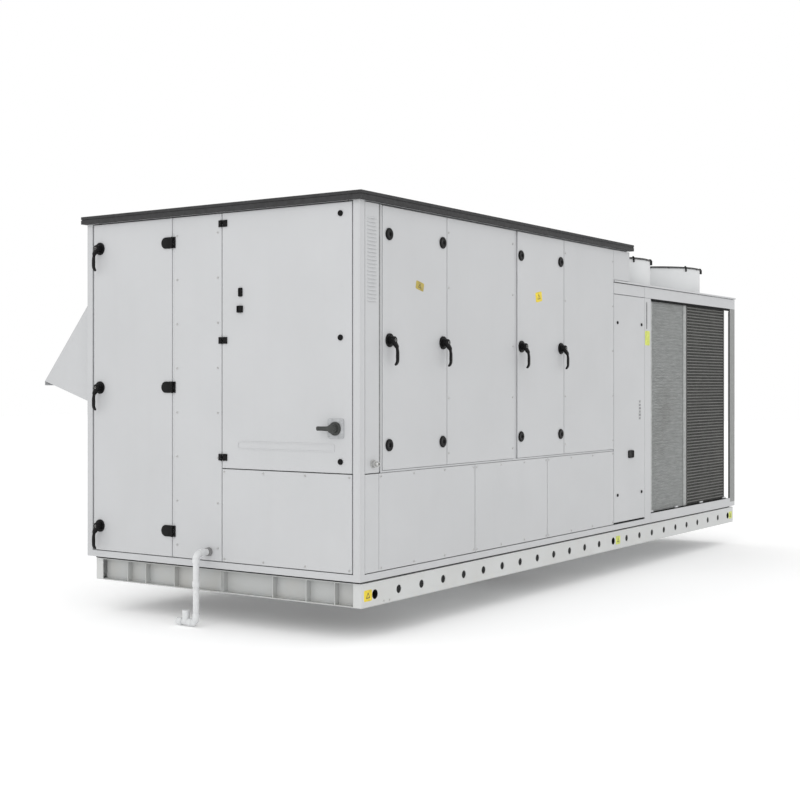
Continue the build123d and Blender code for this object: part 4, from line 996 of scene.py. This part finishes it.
def drain():
    """Solvent-welded pipe: the wall collar, elbows with sockets, the trap's riser and its outlet."""
    wall_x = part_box("drain_pipe")[1].x
    socket = Vector(MOUNTS["drain_socket"]["pos_m"])
    x, z_low = socket.x, socket.z
    entry = at(0, DRAIN_T, DRAIN_Z)
    y, riser = entry.y, entry.y + 0.084
    pipe_radius, elbow_radius, socket_radius, bend = 0.0198, 0.0216, 0.0238, 0.036
    piece = Piece(PVC, COLLAR)

    def elbow(corner, first, second):
        """A quarter bend with a thicker socket at each end; both directions point away from the corner."""
        corner, first, second = Vector(corner), Vector(first), Vector(second)
        centre = corner + (first + second) * bend
        turns = [math.pi / 2 * k / 8 for k in range(9)]
        arc = [centre - second * bend * math.cos(a) - first * bend * math.sin(a) for a in turns]
        piece.wire(arc, elbow_radius, 24)
        for end, way in ((arc[0], first), (arc[-1], second)):
            piece.wire([end - way * 0.004, end + way * 0.020, end + way * 0.022], socket_radius, 28)

    def straight(start, end, radius=pipe_radius):
        piece.wire([start, end], radius, 28)

    straight((wall_x, y, entry.z), (x + bend, y, entry.z))
    elbow((x, y, entry.z), (1, 0, 0), (0, 0, -1))
    straight((x, y, entry.z - bend), (x, y, z_low + bend))
    straight((x, y, 0.049), (x, y, 0.0848), socket_radius)
    elbow((x, y, z_low), (0, 0, 1), (0, 1, 0))
    straight((x, y + bend, z_low), (x, socket.y - 0.016, z_low))
    straight((x, riser, z_low), (x, riser, z_low + 0.0715), socket_radius)
    piece.frame = moved((x, riser, z_low + 0.056))
    piece.hoop([(0.0190, 0.0160), (0.0238, 0.0160), (0.0240, 0.0130), (0.0240, 0.0), (0.0225, 0.0)], 40)
    piece.frame = moved((x, socket.y + 0.015, z_low)) @ ALONG_Y
    piece.hoop([
        (0.0203, 0.0), (0.0230, 0.0), (0.0238, -0.0012),
        (0.0238, -0.0410), (0.0225, -0.0415), (0.0203, -0.0300),
    ], 40)
    piece.slot = 1
    piece.frame = moved((WALLS_LOW.x - 0.0012, y, entry.z)) @ AGAINST_X
    piece.lathe([(0.0268, 0.0), (0.0268, 0.010), (0.0250, 0.0125), (0.0250, 0.0225), (0.0235, 0.0236)], 40)
    piece.made("condensate_drain", "unit", ("drain_pipe",))


# ---- small things on the outside -------------------------------------------------------------------
def wall_screws():
    """Pan-head screws in rows on the fixed panels, and the metal service port by the corner."""
    piece = Piece(STEEL)
    radius, height = 0.0068, 0.0038
    head = [
        (radius, 0.0), (radius, height * 0.35), (radius * 0.86, height * 0.8), (radius * 0.5, height),
        (radius * 0.42, height * 0.45),
    ]
    low_panel_rows = (0.218, 0.756)
    spots = []
    for low, high in ((0.948, 1.806), (2.560, 3.402)):
        for s in (low + 0.016, high - 0.016):
            spots += [front_frame(s, 0.860 + 0.350 * row) for row in range(5)]
    for low, high in ((0.194, 1.287), (1.293, 2.293), (2.299, 3.402)):
        steps = max(2, round((high - low) / 0.330))
        for index in range(steps + 1):
            s = low + 0.018 + (high - low - 0.036) * index / steps
            spots += [front_frame(s, z) for z in low_panel_rows]
    for t in (1.086, 1.428):
        spots += [end_frame(t, 0.280 + 0.280 * row) for row in range(8)]
    for t in (0.075, 0.400, 0.720, 1.032):
        spots += [end_frame(t, z) for z in low_panel_rows]
    for spot in spots:
        piece.frame = spot
        piece.lathe(head, 16)
    piece.frame = front_frame(0.130, 0.833)
    piece.lathe([
        (0.0260, 0.0), (0.0260, 0.0035), (0.0225, 0.0050), (0.0225, 0.0225), (0.0205, 0.0240),
        (0.0150, 0.0240), (0.0150, 0.0415), (0.0135, 0.0438), (0.0090, 0.0438), (0.0085, 0.0360),
    ], 40)
    piece.made("panel_screws_and_port", "unit", ("panel_fasteners",))


def sticker(name, body, home, width, height, tilt, finishes, mark=True):
    """A printed foil label, 0.4 mm thick, with or without a raised triangle."""
    piece = Piece(*finishes)
    piece.frame = home @ Matrix.Rotation(math.radians(tilt), 4, "Z")
    piece.loft(stack(rounded(width, height, 40, 9.0), ((1.0, 0.0), (1.0, 0.0003), (0.99, 0.0004))))
    if mark:
        piece.slot = 1
        reach, border = min(width, height) * 0.36, 0.62
        drop = reach * 0.15
        corners = [math.radians(90 + 120 * k) for k in range(3)]
        outer = [(reach * math.cos(a), reach * math.sin(a) - drop) for a in corners]
        inner = [(x * border, (y + drop) * border - drop) for x, y in outer]
        piece.rim(outer, inner, 0.0004, 0.0007)
    piece.made(name, body)


def labels():
    """Warning foils, the service panel's plate, a grey strip of painted shade for a post's slot and the
    door's plate holder.
    """
    rail_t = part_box("base_side_rails")[0].y - WALLS_LOW.y
    for name, body, home, width, height, tilt, finish in (
        ("door_a_label", "access_door_a", front_frame(0.630, 1.902), 0.090, 0.052, -12, LABEL_OCHRE),
        ("door_b_label", "access_door_b", front_frame(2.167, 1.918), 0.095, 0.070, 10, LABEL_YELLOW),
        ("rail_label_near", "unit", front_frame(0.095, 0.068, rail_t), 0.080, 0.066, 0, LABEL_YELLOW),
        ("rail_label_middle", "unit", front_frame(3.505, 0.068, rail_t), 0.080, 0.066, 0, LABEL_LIME),
        ("rail_label_far", "unit", front_frame(5.985, 0.068, rail_t), 0.080, 0.066, 0, LABEL_LIME),
    ):
        sticker(name, body, home, width, height, tilt, (finish, LABEL_INK))
    for name, home, width, height, finishes in (
        ("post_label", front_frame(4.050, 1.680), 0.096, 0.120, (LABEL_LIME, LABEL_OCHRE)),
        ("service_plate_label", front_frame(3.899, 1.090), 0.050, 0.163, (MARK_GREY, LABEL_INK)),
    ):
        sticker(name, "unit", home, width, height, 0, finishes, mark=False)
    marks = Piece(MARK_DARK)
    for k, width in enumerate((0.026, 0.034, 0.020, 0.034, 0.030, 0.018)):
        marks.frame = front_frame(3.899, 1.024 + 0.027 * k)
        marks.box((-width / 2, -0.008, 0.0004), (width / 2, 0.008, 0.0010))
    marks.made("service_plate_marks", "unit", bevel=0.0003)
    # Painted shade: a mid-grey strip on the post standing in for the dark slot there.
    slot_shade = Piece(RECESS_SHADE)
    slot_shade.frame = front_frame(4.035, 1.866)
    slot_shade.loft(stack(rounded(0.020, 0.222, 32, 7.0), ((1.0, 0.0), (1.0, 0.0012), (0.93, 0.0018))))
    slot_shade.made("post_slot_shade", "unit")
    holder = Piece(WHITE_COAT)
    holder.frame = end_frame(0.5515, 0.925)
    holder.rim(rounded(0.743, 0.050, 48, 12.0), rounded(0.731, 0.038, 48, 12.0), 0.0002, 0.0022)
    holder.made("plate_holder", "control_door")


def louvres():
    """Pressed hoods over the slots of the corner panel, each open along its lower edge."""
    piece = Piece(WHITE_COAT)
    left, right, lowest, pitch = 0.069, 0.171, 1.786, 0.022
    for index in range(23):
        piece.frame = front_frame(0.0, lowest + pitch * index)
        rings = []
        for k in range(9):
            u = k / 8
            s = left + (right - left) * u
            rise = 0.0042 * math.sin(math.pi * u) ** 0.35 + 0.0003
            rings.append([
                (s, 0.0085, 0.0001), (s, 0.0030, rise * 0.75), (s, -0.0046, rise), (s, -0.0052, rise * 0.8),
                (s, 0.0020, max(0.0001, rise * 0.75 - 0.0012)), (s, 0.0070, 0.0),
            ])
        piece.loft(rings)
    piece.made("pressed_louvres", "unit")


def shade_strips():
    """Painted shade: dark strips in the gaps by the coils, far posts and service panel, a grey one in the
    corner groove, and dark post returns.
    """
    piece = Piece(SHADE, RECESS_SHADE, POST_RETURN_SHADE)
    # Near-black strips as painted shade: the shadow gaps over and under the coils, at the far posts' tops
    # and at the foot of the service panel, on both long sides.
    for back in (False, True):
        for s, depth, z in (
            ((4.121, 5.949), (0.0020, 0.0150), (1.990, 2.0085)),
            ((4.121, 5.849), (0.0020, 0.0150), (0.2302, 0.2390)),
            ((5.951, 6.0655), (0.0045, 0.0150), (1.985, 2.0085)),
            ((3.412, 3.996), (0.0070, 0.0150), (0.1975, 0.2085)),
        ):
            near, far = (CASE_WIDTH - depth[1], CASE_WIDTH - depth[0]) if back else depth
            piece.box(at(s[0], near, z[0]), at(s[1], far, z[1]))
    # A mid-grey strip in the corner panel's groove, as painted shade of the recess.
    piece.slot = 1
    piece.box(at(0.1930, 0.0028, 0.790), at(0.2100, 0.0040, 2.352))
    # Dark returns on the far posts, coloured as painted shade.
    piece.slot = 2
    for near, far in ((0.0045, 0.0190), (CASE_WIDTH - 0.0190, CASE_WIDTH - 0.0045)):
        piece.box(at(5.9510, near, 0.1960), at(5.9540, far, 1.984))
    piece.made("dark_shade_strips", "unit", bevel=0.0008)


def rail_bolts():
    """Two hexagon heads on the base rail, near its end."""
    piece = Piece(STEEL)
    rail_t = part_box("base_side_rails")[0].y - WALLS_LOW.y
    for s in (0.258, 0.316):
        piece.frame = front_frame(s, 0.015, rail_t)
        piece.lathe([(0.006, 0.0), (0.006, 0.003), (0.004, 0.0042)], 6)
    piece.made("rail_bolts", "unit")


# ---- inside the casing -----------------------------------------------------------------------------
def vane_ring(start, u, outer, far):
    """A vane's section at the share u of the way out; far is the level of the back plate."""
    inner = 0.172
    radius = inner + (outer - inner) * u
    angle = start - 0.62 * u**0.9
    c, s = math.cos(angle), math.sin(angle)
    side = Vector((-s, c, 0)) * 0.0018
    point = Vector((radius * c, radius * s, 0))
    near = Vector((0, 0, 0.006 + 0.019 * max(0.0, (radius - 0.23) / 0.06)))
    back = Vector((0, 0, far))
    return [point - side + near, point + side + near, point + side + back, point - side + back]


def supply_wheels():
    """Backward-curved vanes between a back plate and a flared shroud, on a finned rotor."""
    for place in ("front", "back"):
        node = f"supply_fan_wheel_{place}"
        low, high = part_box(node)
        axis = place_of(f"supply_wheel_{place}_spin")
        piece = Piece(ALUMINIUM, DARK_GREY)
        piece.frame = moved((low.x, axis.y, axis.z)) @ ALONG_X
        width, plate, vanes = 0.195, 0.006, 7
        outer = (high.z - low.z) / 2 - 0.001
        piece.hoop([
            (0.201, 0.0), (0.205, 0.0), (0.230, 0.004), (0.262, 0.016), (outer, 0.026), (outer, 0.028),
            (0.261, 0.019), (0.229, 0.007), (0.206, 0.0035), (0.201, 0.0035),
        ], 96)
        piece.hoop([(0.087, width - plate), (outer, width - plate), (outer, width), (0.087, width)], 96)
        for vane in range(vanes):
            start = math.tau * vane / vanes
            piece.loft([vane_ring(start, k / 8, outer - 0.006, width - plate) for k in range(9)])
        piece.slot = 1
        hub_start, hub_end = width - 0.040, high.x - low.x - 0.0005
        profile = [(0.0124, hub_start), (0.070, hub_start), (0.0865, hub_start + 0.012)]
        for k in range(7):
            h = width + 0.012 + k * 0.015
            profile += [(0.0865, h), (0.0820, h + 0.002), (0.0820, h + 0.006), (0.0865, h + 0.008)]
        profile += [(0.0865, hub_end - 0.004), (0.080, hub_end), (0.0124, hub_end)]
        piece.hoop(profile, 64)
        piece.made(f"supply_wheel_{place}_rotor", f"supply_wheel_{place}", (node,))


def supply_mounts():
    """Inlet cones rolled like trumpets, and the finned stators on their bracket columns."""
    low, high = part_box("supply_fan_mounts")
    piece = Piece(ZINC, DARK_GREY)
    cone = [(0.1745 + 0.048 * (1 - k / 8) ** 2.2, 0.001 + 0.0935 * k / 8) for k in range(9)]
    cone += [(radius - 0.0022, height) for radius, height in reversed(cone)]
    face = 2.300 - (low.x - WALLS_LOW.x)
    stator = [(0.0118, face - 0.199), (0.0118, face), (0.098, face), (0.1045, face + 0.006)]
    for k in range(5):
        h = face + 0.014 + k * 0.018
        stator += [(0.1045, h), (0.097, h + 0.003), (0.097, h + 0.009), (0.1045, h + 0.012)]
    stator.append((0.1045, face + 0.1095))
    web, flange, depth, clear = 0.003, 0.044, 0.038, 0.0005
    column = at(2.4105, 0, 0).x
    for place in ("front", "back"):
        axis = place_of(f"supply_wheel_{place}_spin")
        piece.frame = moved((low.x, axis.y, axis.z)) @ ALONG_X
        piece.slot = 0
        piece.hoop(cone, 80)
        piece.slot = 1
        piece.lathe(stator, 64)
        piece.slot = 0
        piece.frame = moved((column, axis.y, 0))
        for x, y in (
            ((0.0, web), (-flange, flange)),
            ((web, depth), (-flange, web - flange)),
            ((web, depth), (flange - web, flange)),
        ):
            piece.box((x[0], y[0], low.z + clear), (x[1], y[1], high.z - clear))
        for k in range(10):
            z = low.z + 0.14 + k * 0.21
            piece.box((web, web - flange, z), (0.034, flange - web, z + web))
    piece.made("supply_fan_cones_and_motors", "unit", ("supply_fan_mounts",), bevel=0.0008)


def filters():
    """Board-framed filter cells with pleated media."""
    low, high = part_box("filter_cells")
    piece = Piece(BOARD, MEDIA)
    columns, rows, gap, rim, pleats, paper = 4, 4, 0.004, 0.022, 24, 0.0016
    width, height = (high.y - low.y + gap) / columns, (high.z - low.z + gap) / rows
    for column in range(columns):
        for row in range(rows):
            y0, y1 = low.y + column * width, low.y + (column + 1) * width - gap
            z0, z1 = low.z + row * height, low.z + (row + 1) * height - gap
            piece.slot = 0
            for a, b, c, d in (
                (y0, y1, z0, z0 + rim),
                (y0, y1, z1 - rim, z1),
                (y0, y0 + rim, z0 + rim, z1 - rim),
                (y1 - rim, y1, z0 + rim, z1 - rim),
            ):
                piece.box((low.x, a, c), (high.x, b, d))
            piece.slot = 1
            front = []
            for k in range(2 * pleats + 1):
                y = y0 + rim + (y1 - y0 - 2 * rim) * k / (2 * pleats)
                front.append((low.x + (0.006 if k % 2 else 0.040), y))
            section = front + [(x + paper, y) for x, y in reversed(front)]
            piece.loft([[(x, y, z) for x, y in section] for z in (z0 + rim, z1 - rim)])
    piece.made("pleated_filters", "unit", ("filter_cells",))


def evaporator():
    """The cooling coil: casing plates, close fins, tube ends with return bends, and a copper header."""
    low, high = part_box("evaporator_coil")
    piece = Piece(STAINLESS, FINS_ALU, COPPER)
    bottom, top = low.z, high.z
    left, right = at(0, 0.150, 0).y, at(0, 2.100, 0).y
    sheet, fins, tubes, bends = 0.0025, 380, 24, 36
    for y0, y1 in ((left, left + sheet), (right - sheet, right)):
        piece.box((low.x, y0, bottom), (high.x, y1, top))
    for z0, z1 in ((bottom, bottom + sheet), (top - sheet, top)):
        piece.box((low.x, left + sheet, z0), (high.x, right - sheet, z1))
    piece.slot = 1
    core = 0.016
    piece.box((low.x + core, left + 0.004, bottom + 0.004), (high.x - core, right - 0.004, top - 0.004))
    pitch = (right - left - 0.010) / fins
    for k in range(fins):
        y = left + 0.005 + (k + 0.5) * pitch
        for x0, x1 in ((low.x + 0.006, low.x + core), (high.x - core, high.x - 0.006)):
            piece.box((x0, y - pitch * 0.16, bottom + 0.006), (x1, y + pitch * 0.16, top - 0.006))
    piece.slot = 2
    header_x, header_y = low.x + 0.030, low.y + 0.018
    length = top - bottom - 0.170
    piece.frame = moved((header_x, header_y, bottom + 0.110))
    piece.lathe([
        (0.010, 0.0), (0.0165, 0.004), (0.0178, 0.010), (0.0178, length - 0.010), (0.0165, length - 0.004),
        (0.010, length),
    ], 32)
    piece.frame = Matrix.Identity(4)
    for k in range(tubes):
        z = bottom + 0.140 + k * (length - 0.060) / (tubes - 1)
        piece.wire([(header_x, header_y, z), (header_x, left + 0.001, z)], 0.0062, 12)
    bend_x, bend_y, bend = low.x + 0.085, left + 0.002, 0.016
    for k in range(bends):
        z = bottom + 0.040 + k * (top - bottom - 0.100) / (bends - 1)
        arc = []
        for m in range(1, 8):
            angle = math.pi * m / 8
            arc.append((bend_x, left - bend * math.sin(angle), z + bend - bend * math.cos(angle)))
        piece.wire([(bend_x, bend_y, z), *arc, (bend_x, bend_y, z + 2 * bend)], 0.0050, 10)
    piece.made("cooling_coil", "unit", ("evaporator_coil",))


def switchgear():
    """Backplate, slotted wiring ducts and rail-mounted devices with toggles and terminals."""
    low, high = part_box("control_switchgear")
    piece = Piece(ZINC, LIGHT_GREY, DARK_GREY, BLACK)
    plate_x = high.x - 0.004
    duct_x, rail_x, front_x = plate_x - 0.060, plate_x - 0.008, low.x + 0.020
    duct_y0, duct_y1 = at(0, 0.151, 0).y, at(0, 0.999, 0).y
    rail_y0, rail_y1 = at(0, 0.152, 0).y, at(0, 0.998, 0).y
    first_device_y, rail_length, teeth = at(0, 0.160, 0).y, 0.820, 68
    piece.box((plate_x, low.y, low.z), (high.x, high.y, high.z))
    piece.slot = 1
    for z in (0.900, 1.200, 1.500, 1.800, 2.100):
        piece.box((duct_x, duct_y0, z - 0.0245), (duct_x + 0.003, duct_y1, z + 0.0245))
        for k in range(teeth):
            y = duct_y0 + (k + 0.2) * (duct_y1 - duct_y0) / teeth
            for side in (z - 0.0245, z + 0.0225):
                piece.box((duct_x + 0.003, y, side), (plate_x, y + 0.0075, side + 0.002))
    for z, width, gap in (
        (1.050, 0.090, 0.022), (1.350, 0.054, 0.008), (1.650, 0.072, 0.010), (1.950, 0.036, 0.004),
    ):
        piece.slot = 0
        piece.box((rail_x, rail_y0, z - 0.0175), (plate_x, rail_y1, z + 0.0175))
        terminals = max(1, int(width / 0.018))
        for k in range(int(rail_length // (width + gap))):
            y = first_device_y + k * (width + gap)
            y0, y1 = y + 0.001, y + width - 0.001
            piece.slot = 1 if (k + int(z * 10)) % 3 else 2
            piece.box((front_x, y0, z - 0.0545), (rail_x, y1, z + 0.0545))
            piece.box((low.x + 0.004, y0, z - 0.026), (front_x, y1, z + 0.026))
            piece.slot = 3
            piece.box((low.x, y + width * 0.36, z - 0.008), (low.x + 0.004, y + width * 0.64, z + 0.008))
            for m in range(terminals):
                ty = y + width * (m + 0.5) / terminals
                for tz in (z - 0.044, z + 0.044):
                    piece.box((front_x - 0.0015, ty - 0.004, tz - 0.004), (front_x, ty + 0.004, tz + 0.004))
    piece.made("control_gear", "unit", ("control_switchgear",), bevel=0.0006)


def compressors():
    """Scroll compressor shells with weld seams, domed ends, feet, ports and a terminal box."""
    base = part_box("compressors")[0].z
    piece = Piece(ENAMEL, COPPER, LIGHT_GREY)
    radius, shoulder = 0.1172, 0.470
    shell = [
        (0.060, 0.0115), (0.095, 0.0125), (0.1165, 0.020), (radius, 0.105),
        (0.1225, 0.110), (0.1225, 0.126), (radius, 0.131), (radius, 0.400),
        (0.1212, 0.404), (0.1212, 0.420), (radius, 0.424), (radius, shoulder),
    ]
    for k in range(1, 9):
        angle = math.pi / 2 * k / 8
        shell.append((max(0.004, radius * math.cos(angle)), shoulder + 0.0595 * math.sin(angle)))
    foot = stack(rounded(0.268, 0.268, 48, 7.0), ((1.0, 0.0), (1.0, 0.0118)))
    terminal_box = []
    for x, scale in ((0.106, 1.0), (0.168, 1.0), (0.1745, 0.95)):
        outline = rounded(0.108 * scale, 0.118 * scale, 24, 8.0)
        terminal_box.append([(x, across, up + 0.364) for across, up in outline])
    for t in (0.420, 0.800, 1.445, 1.825):
        spot = at(3.720, t, base)
        piece.slot = 0
        piece.frame = moved(spot)
        piece.lathe(shell, 56)
        piece.loft(foot)
        piece.loft(terminal_box)
        piece.slot = 1
        piece.frame = moved((spot.x, spot.y, 0.330)) @ AGAINST_X
        piece.hoop([(0.0178, 0.080), (0.0208, 0.080), (0.0208, 0.1595), (0.0178, 0.1595)], 32)
        piece.frame = moved((spot.x, spot.y + 0.060, base))
        piece.lathe([(0.0138, 0.480), (0.0138, 0.556), (0.0128, 0.5595)], 28)
    piece.made("scroll_compressors", "unit", ("compressors",))


def fan_motors():
    """Ribbed motors hung from two folded bars under the deck."""
    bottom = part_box("fan_motors")[0].z
    piece = Piece(DARK_GREY, STEEL, ZINC)
    shell = [(0.0, 0.070), (0.004, 0.078), (0.010, 0.0815), (0.098, 0.0815), (0.108, 0.070), (0.1195, 0.060)]
    body = [ribbed_circle(reach, h, 0.006 if 0.009 < h < 0.1 else 0.0) for h, reach in shell]
    bar_z, half_length, half_width, fold, sheet = 2.0905, 0.4690, 0.0145, 0.0240, 0.0025
    for index, centre in fan_spots():
        piece.slot = 0
        piece.frame = moved((centre.x, centre.y, bottom))
        piece.loft(body)
        piece.slot = 1
        piece.lathe([(0.0118, 0.119), (0.0118, 0.228), (0.0105, 0.2295)], 24)
        piece.slot = 2
        for offset in (-0.060, 0.060):
            piece.frame = moved((centre.x, centre.y + offset, bar_z))
            for y, z in (
                ((-half_width, half_width), (0.0, sheet)),
                ((-half_width, sheet - half_width), (sheet, fold)),
                ((half_width - sheet, half_width), (sheet, fold)),
            ):
                piece.box((-half_length, y[0], z[0]), (half_length, y[1], z[1]))
    piece.made("condenser_fan_motors", "unit", ("fan_motors",), bevel=0.0006)


def damper():
    """Folded blades with a rubber seal on each edge, on stub shafts."""
    for index in (1, 2, 3):
        node = f"damper_blade_{index}"
        low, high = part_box(node)
        axis = place_of(f"damper_blade_{index}_turn")
        piece = Piece(ALUMINIUM, RUBBER, STEEL)
        piece.frame = moved((low.x, axis.y, axis.z))
        length = high.x - low.x
        half = (high.z - low.z) / 2 - 0.002
        start, stop = 0.0175, length - 0.0175
        sheet, bulge = 0.0014, ((0.0075, -0.012), (0.0078, 0.0), (0.0075, 0.012))
        front = [(sheet, -half), (sheet, -0.030), *bulge, (sheet, 0.030)]
        back = [(-a, -b) for a, b in front]
        outline = [(-sheet, -half), *front, (sheet, half), *back]
        piece.loft([[(x, a, b) for a, b in outline] for x in (start, stop)])
        piece.slot = 1
        for edge in (-1, 1):
            seal = [(-0.0015, edge * half), (0.0015, edge * half), (0.0008, edge * (half + 0.0018)),
                    (-0.0008, edge * (half + 0.0018))]
            piece.loft([[(x, a, b) for a, b in seal] for x in (start, stop)])
        piece.slot = 2
        home = piece.frame
        for x in (0.0, length - 0.020):
            piece.frame = home @ moved((x, 0, 0)) @ ALONG_X
            piece.lathe([(0.0070, 0.0), (0.0079, 0.001), (0.0079, 0.019), (0.0070, 0.020)], 24)
        piece.made(f"folded_damper_blade_{index}", node, (node,))


add_camera()
add_studio()
paint_cad_nodes()
for door in "ab":
    access_door_hardware(door)
end_wall_hardware()
isolator_handle()
control_locks()
door_gaskets()
fan_guards()
fan_shrouds()
fan_rotors()
coil("condenser_coils_light", "light_condenser_coils", 0.062, 0.0042, FINS_LIGHT, FINS_LIGHT, 0.0052, 0.0095)
coil("condenser_coils_dark", "dark_condenser_coils", 0.022, 0.0042, FINS_DARK, TUBES_DARK, 0.0052, 0.0056)
fan_motors()
drain()
wall_screws()
rail_bolts()
labels()
louvres()
shade_strips()
supply_wheels()
supply_mounts()
filters()
evaporator()
switchgear()
compressors()
damper()
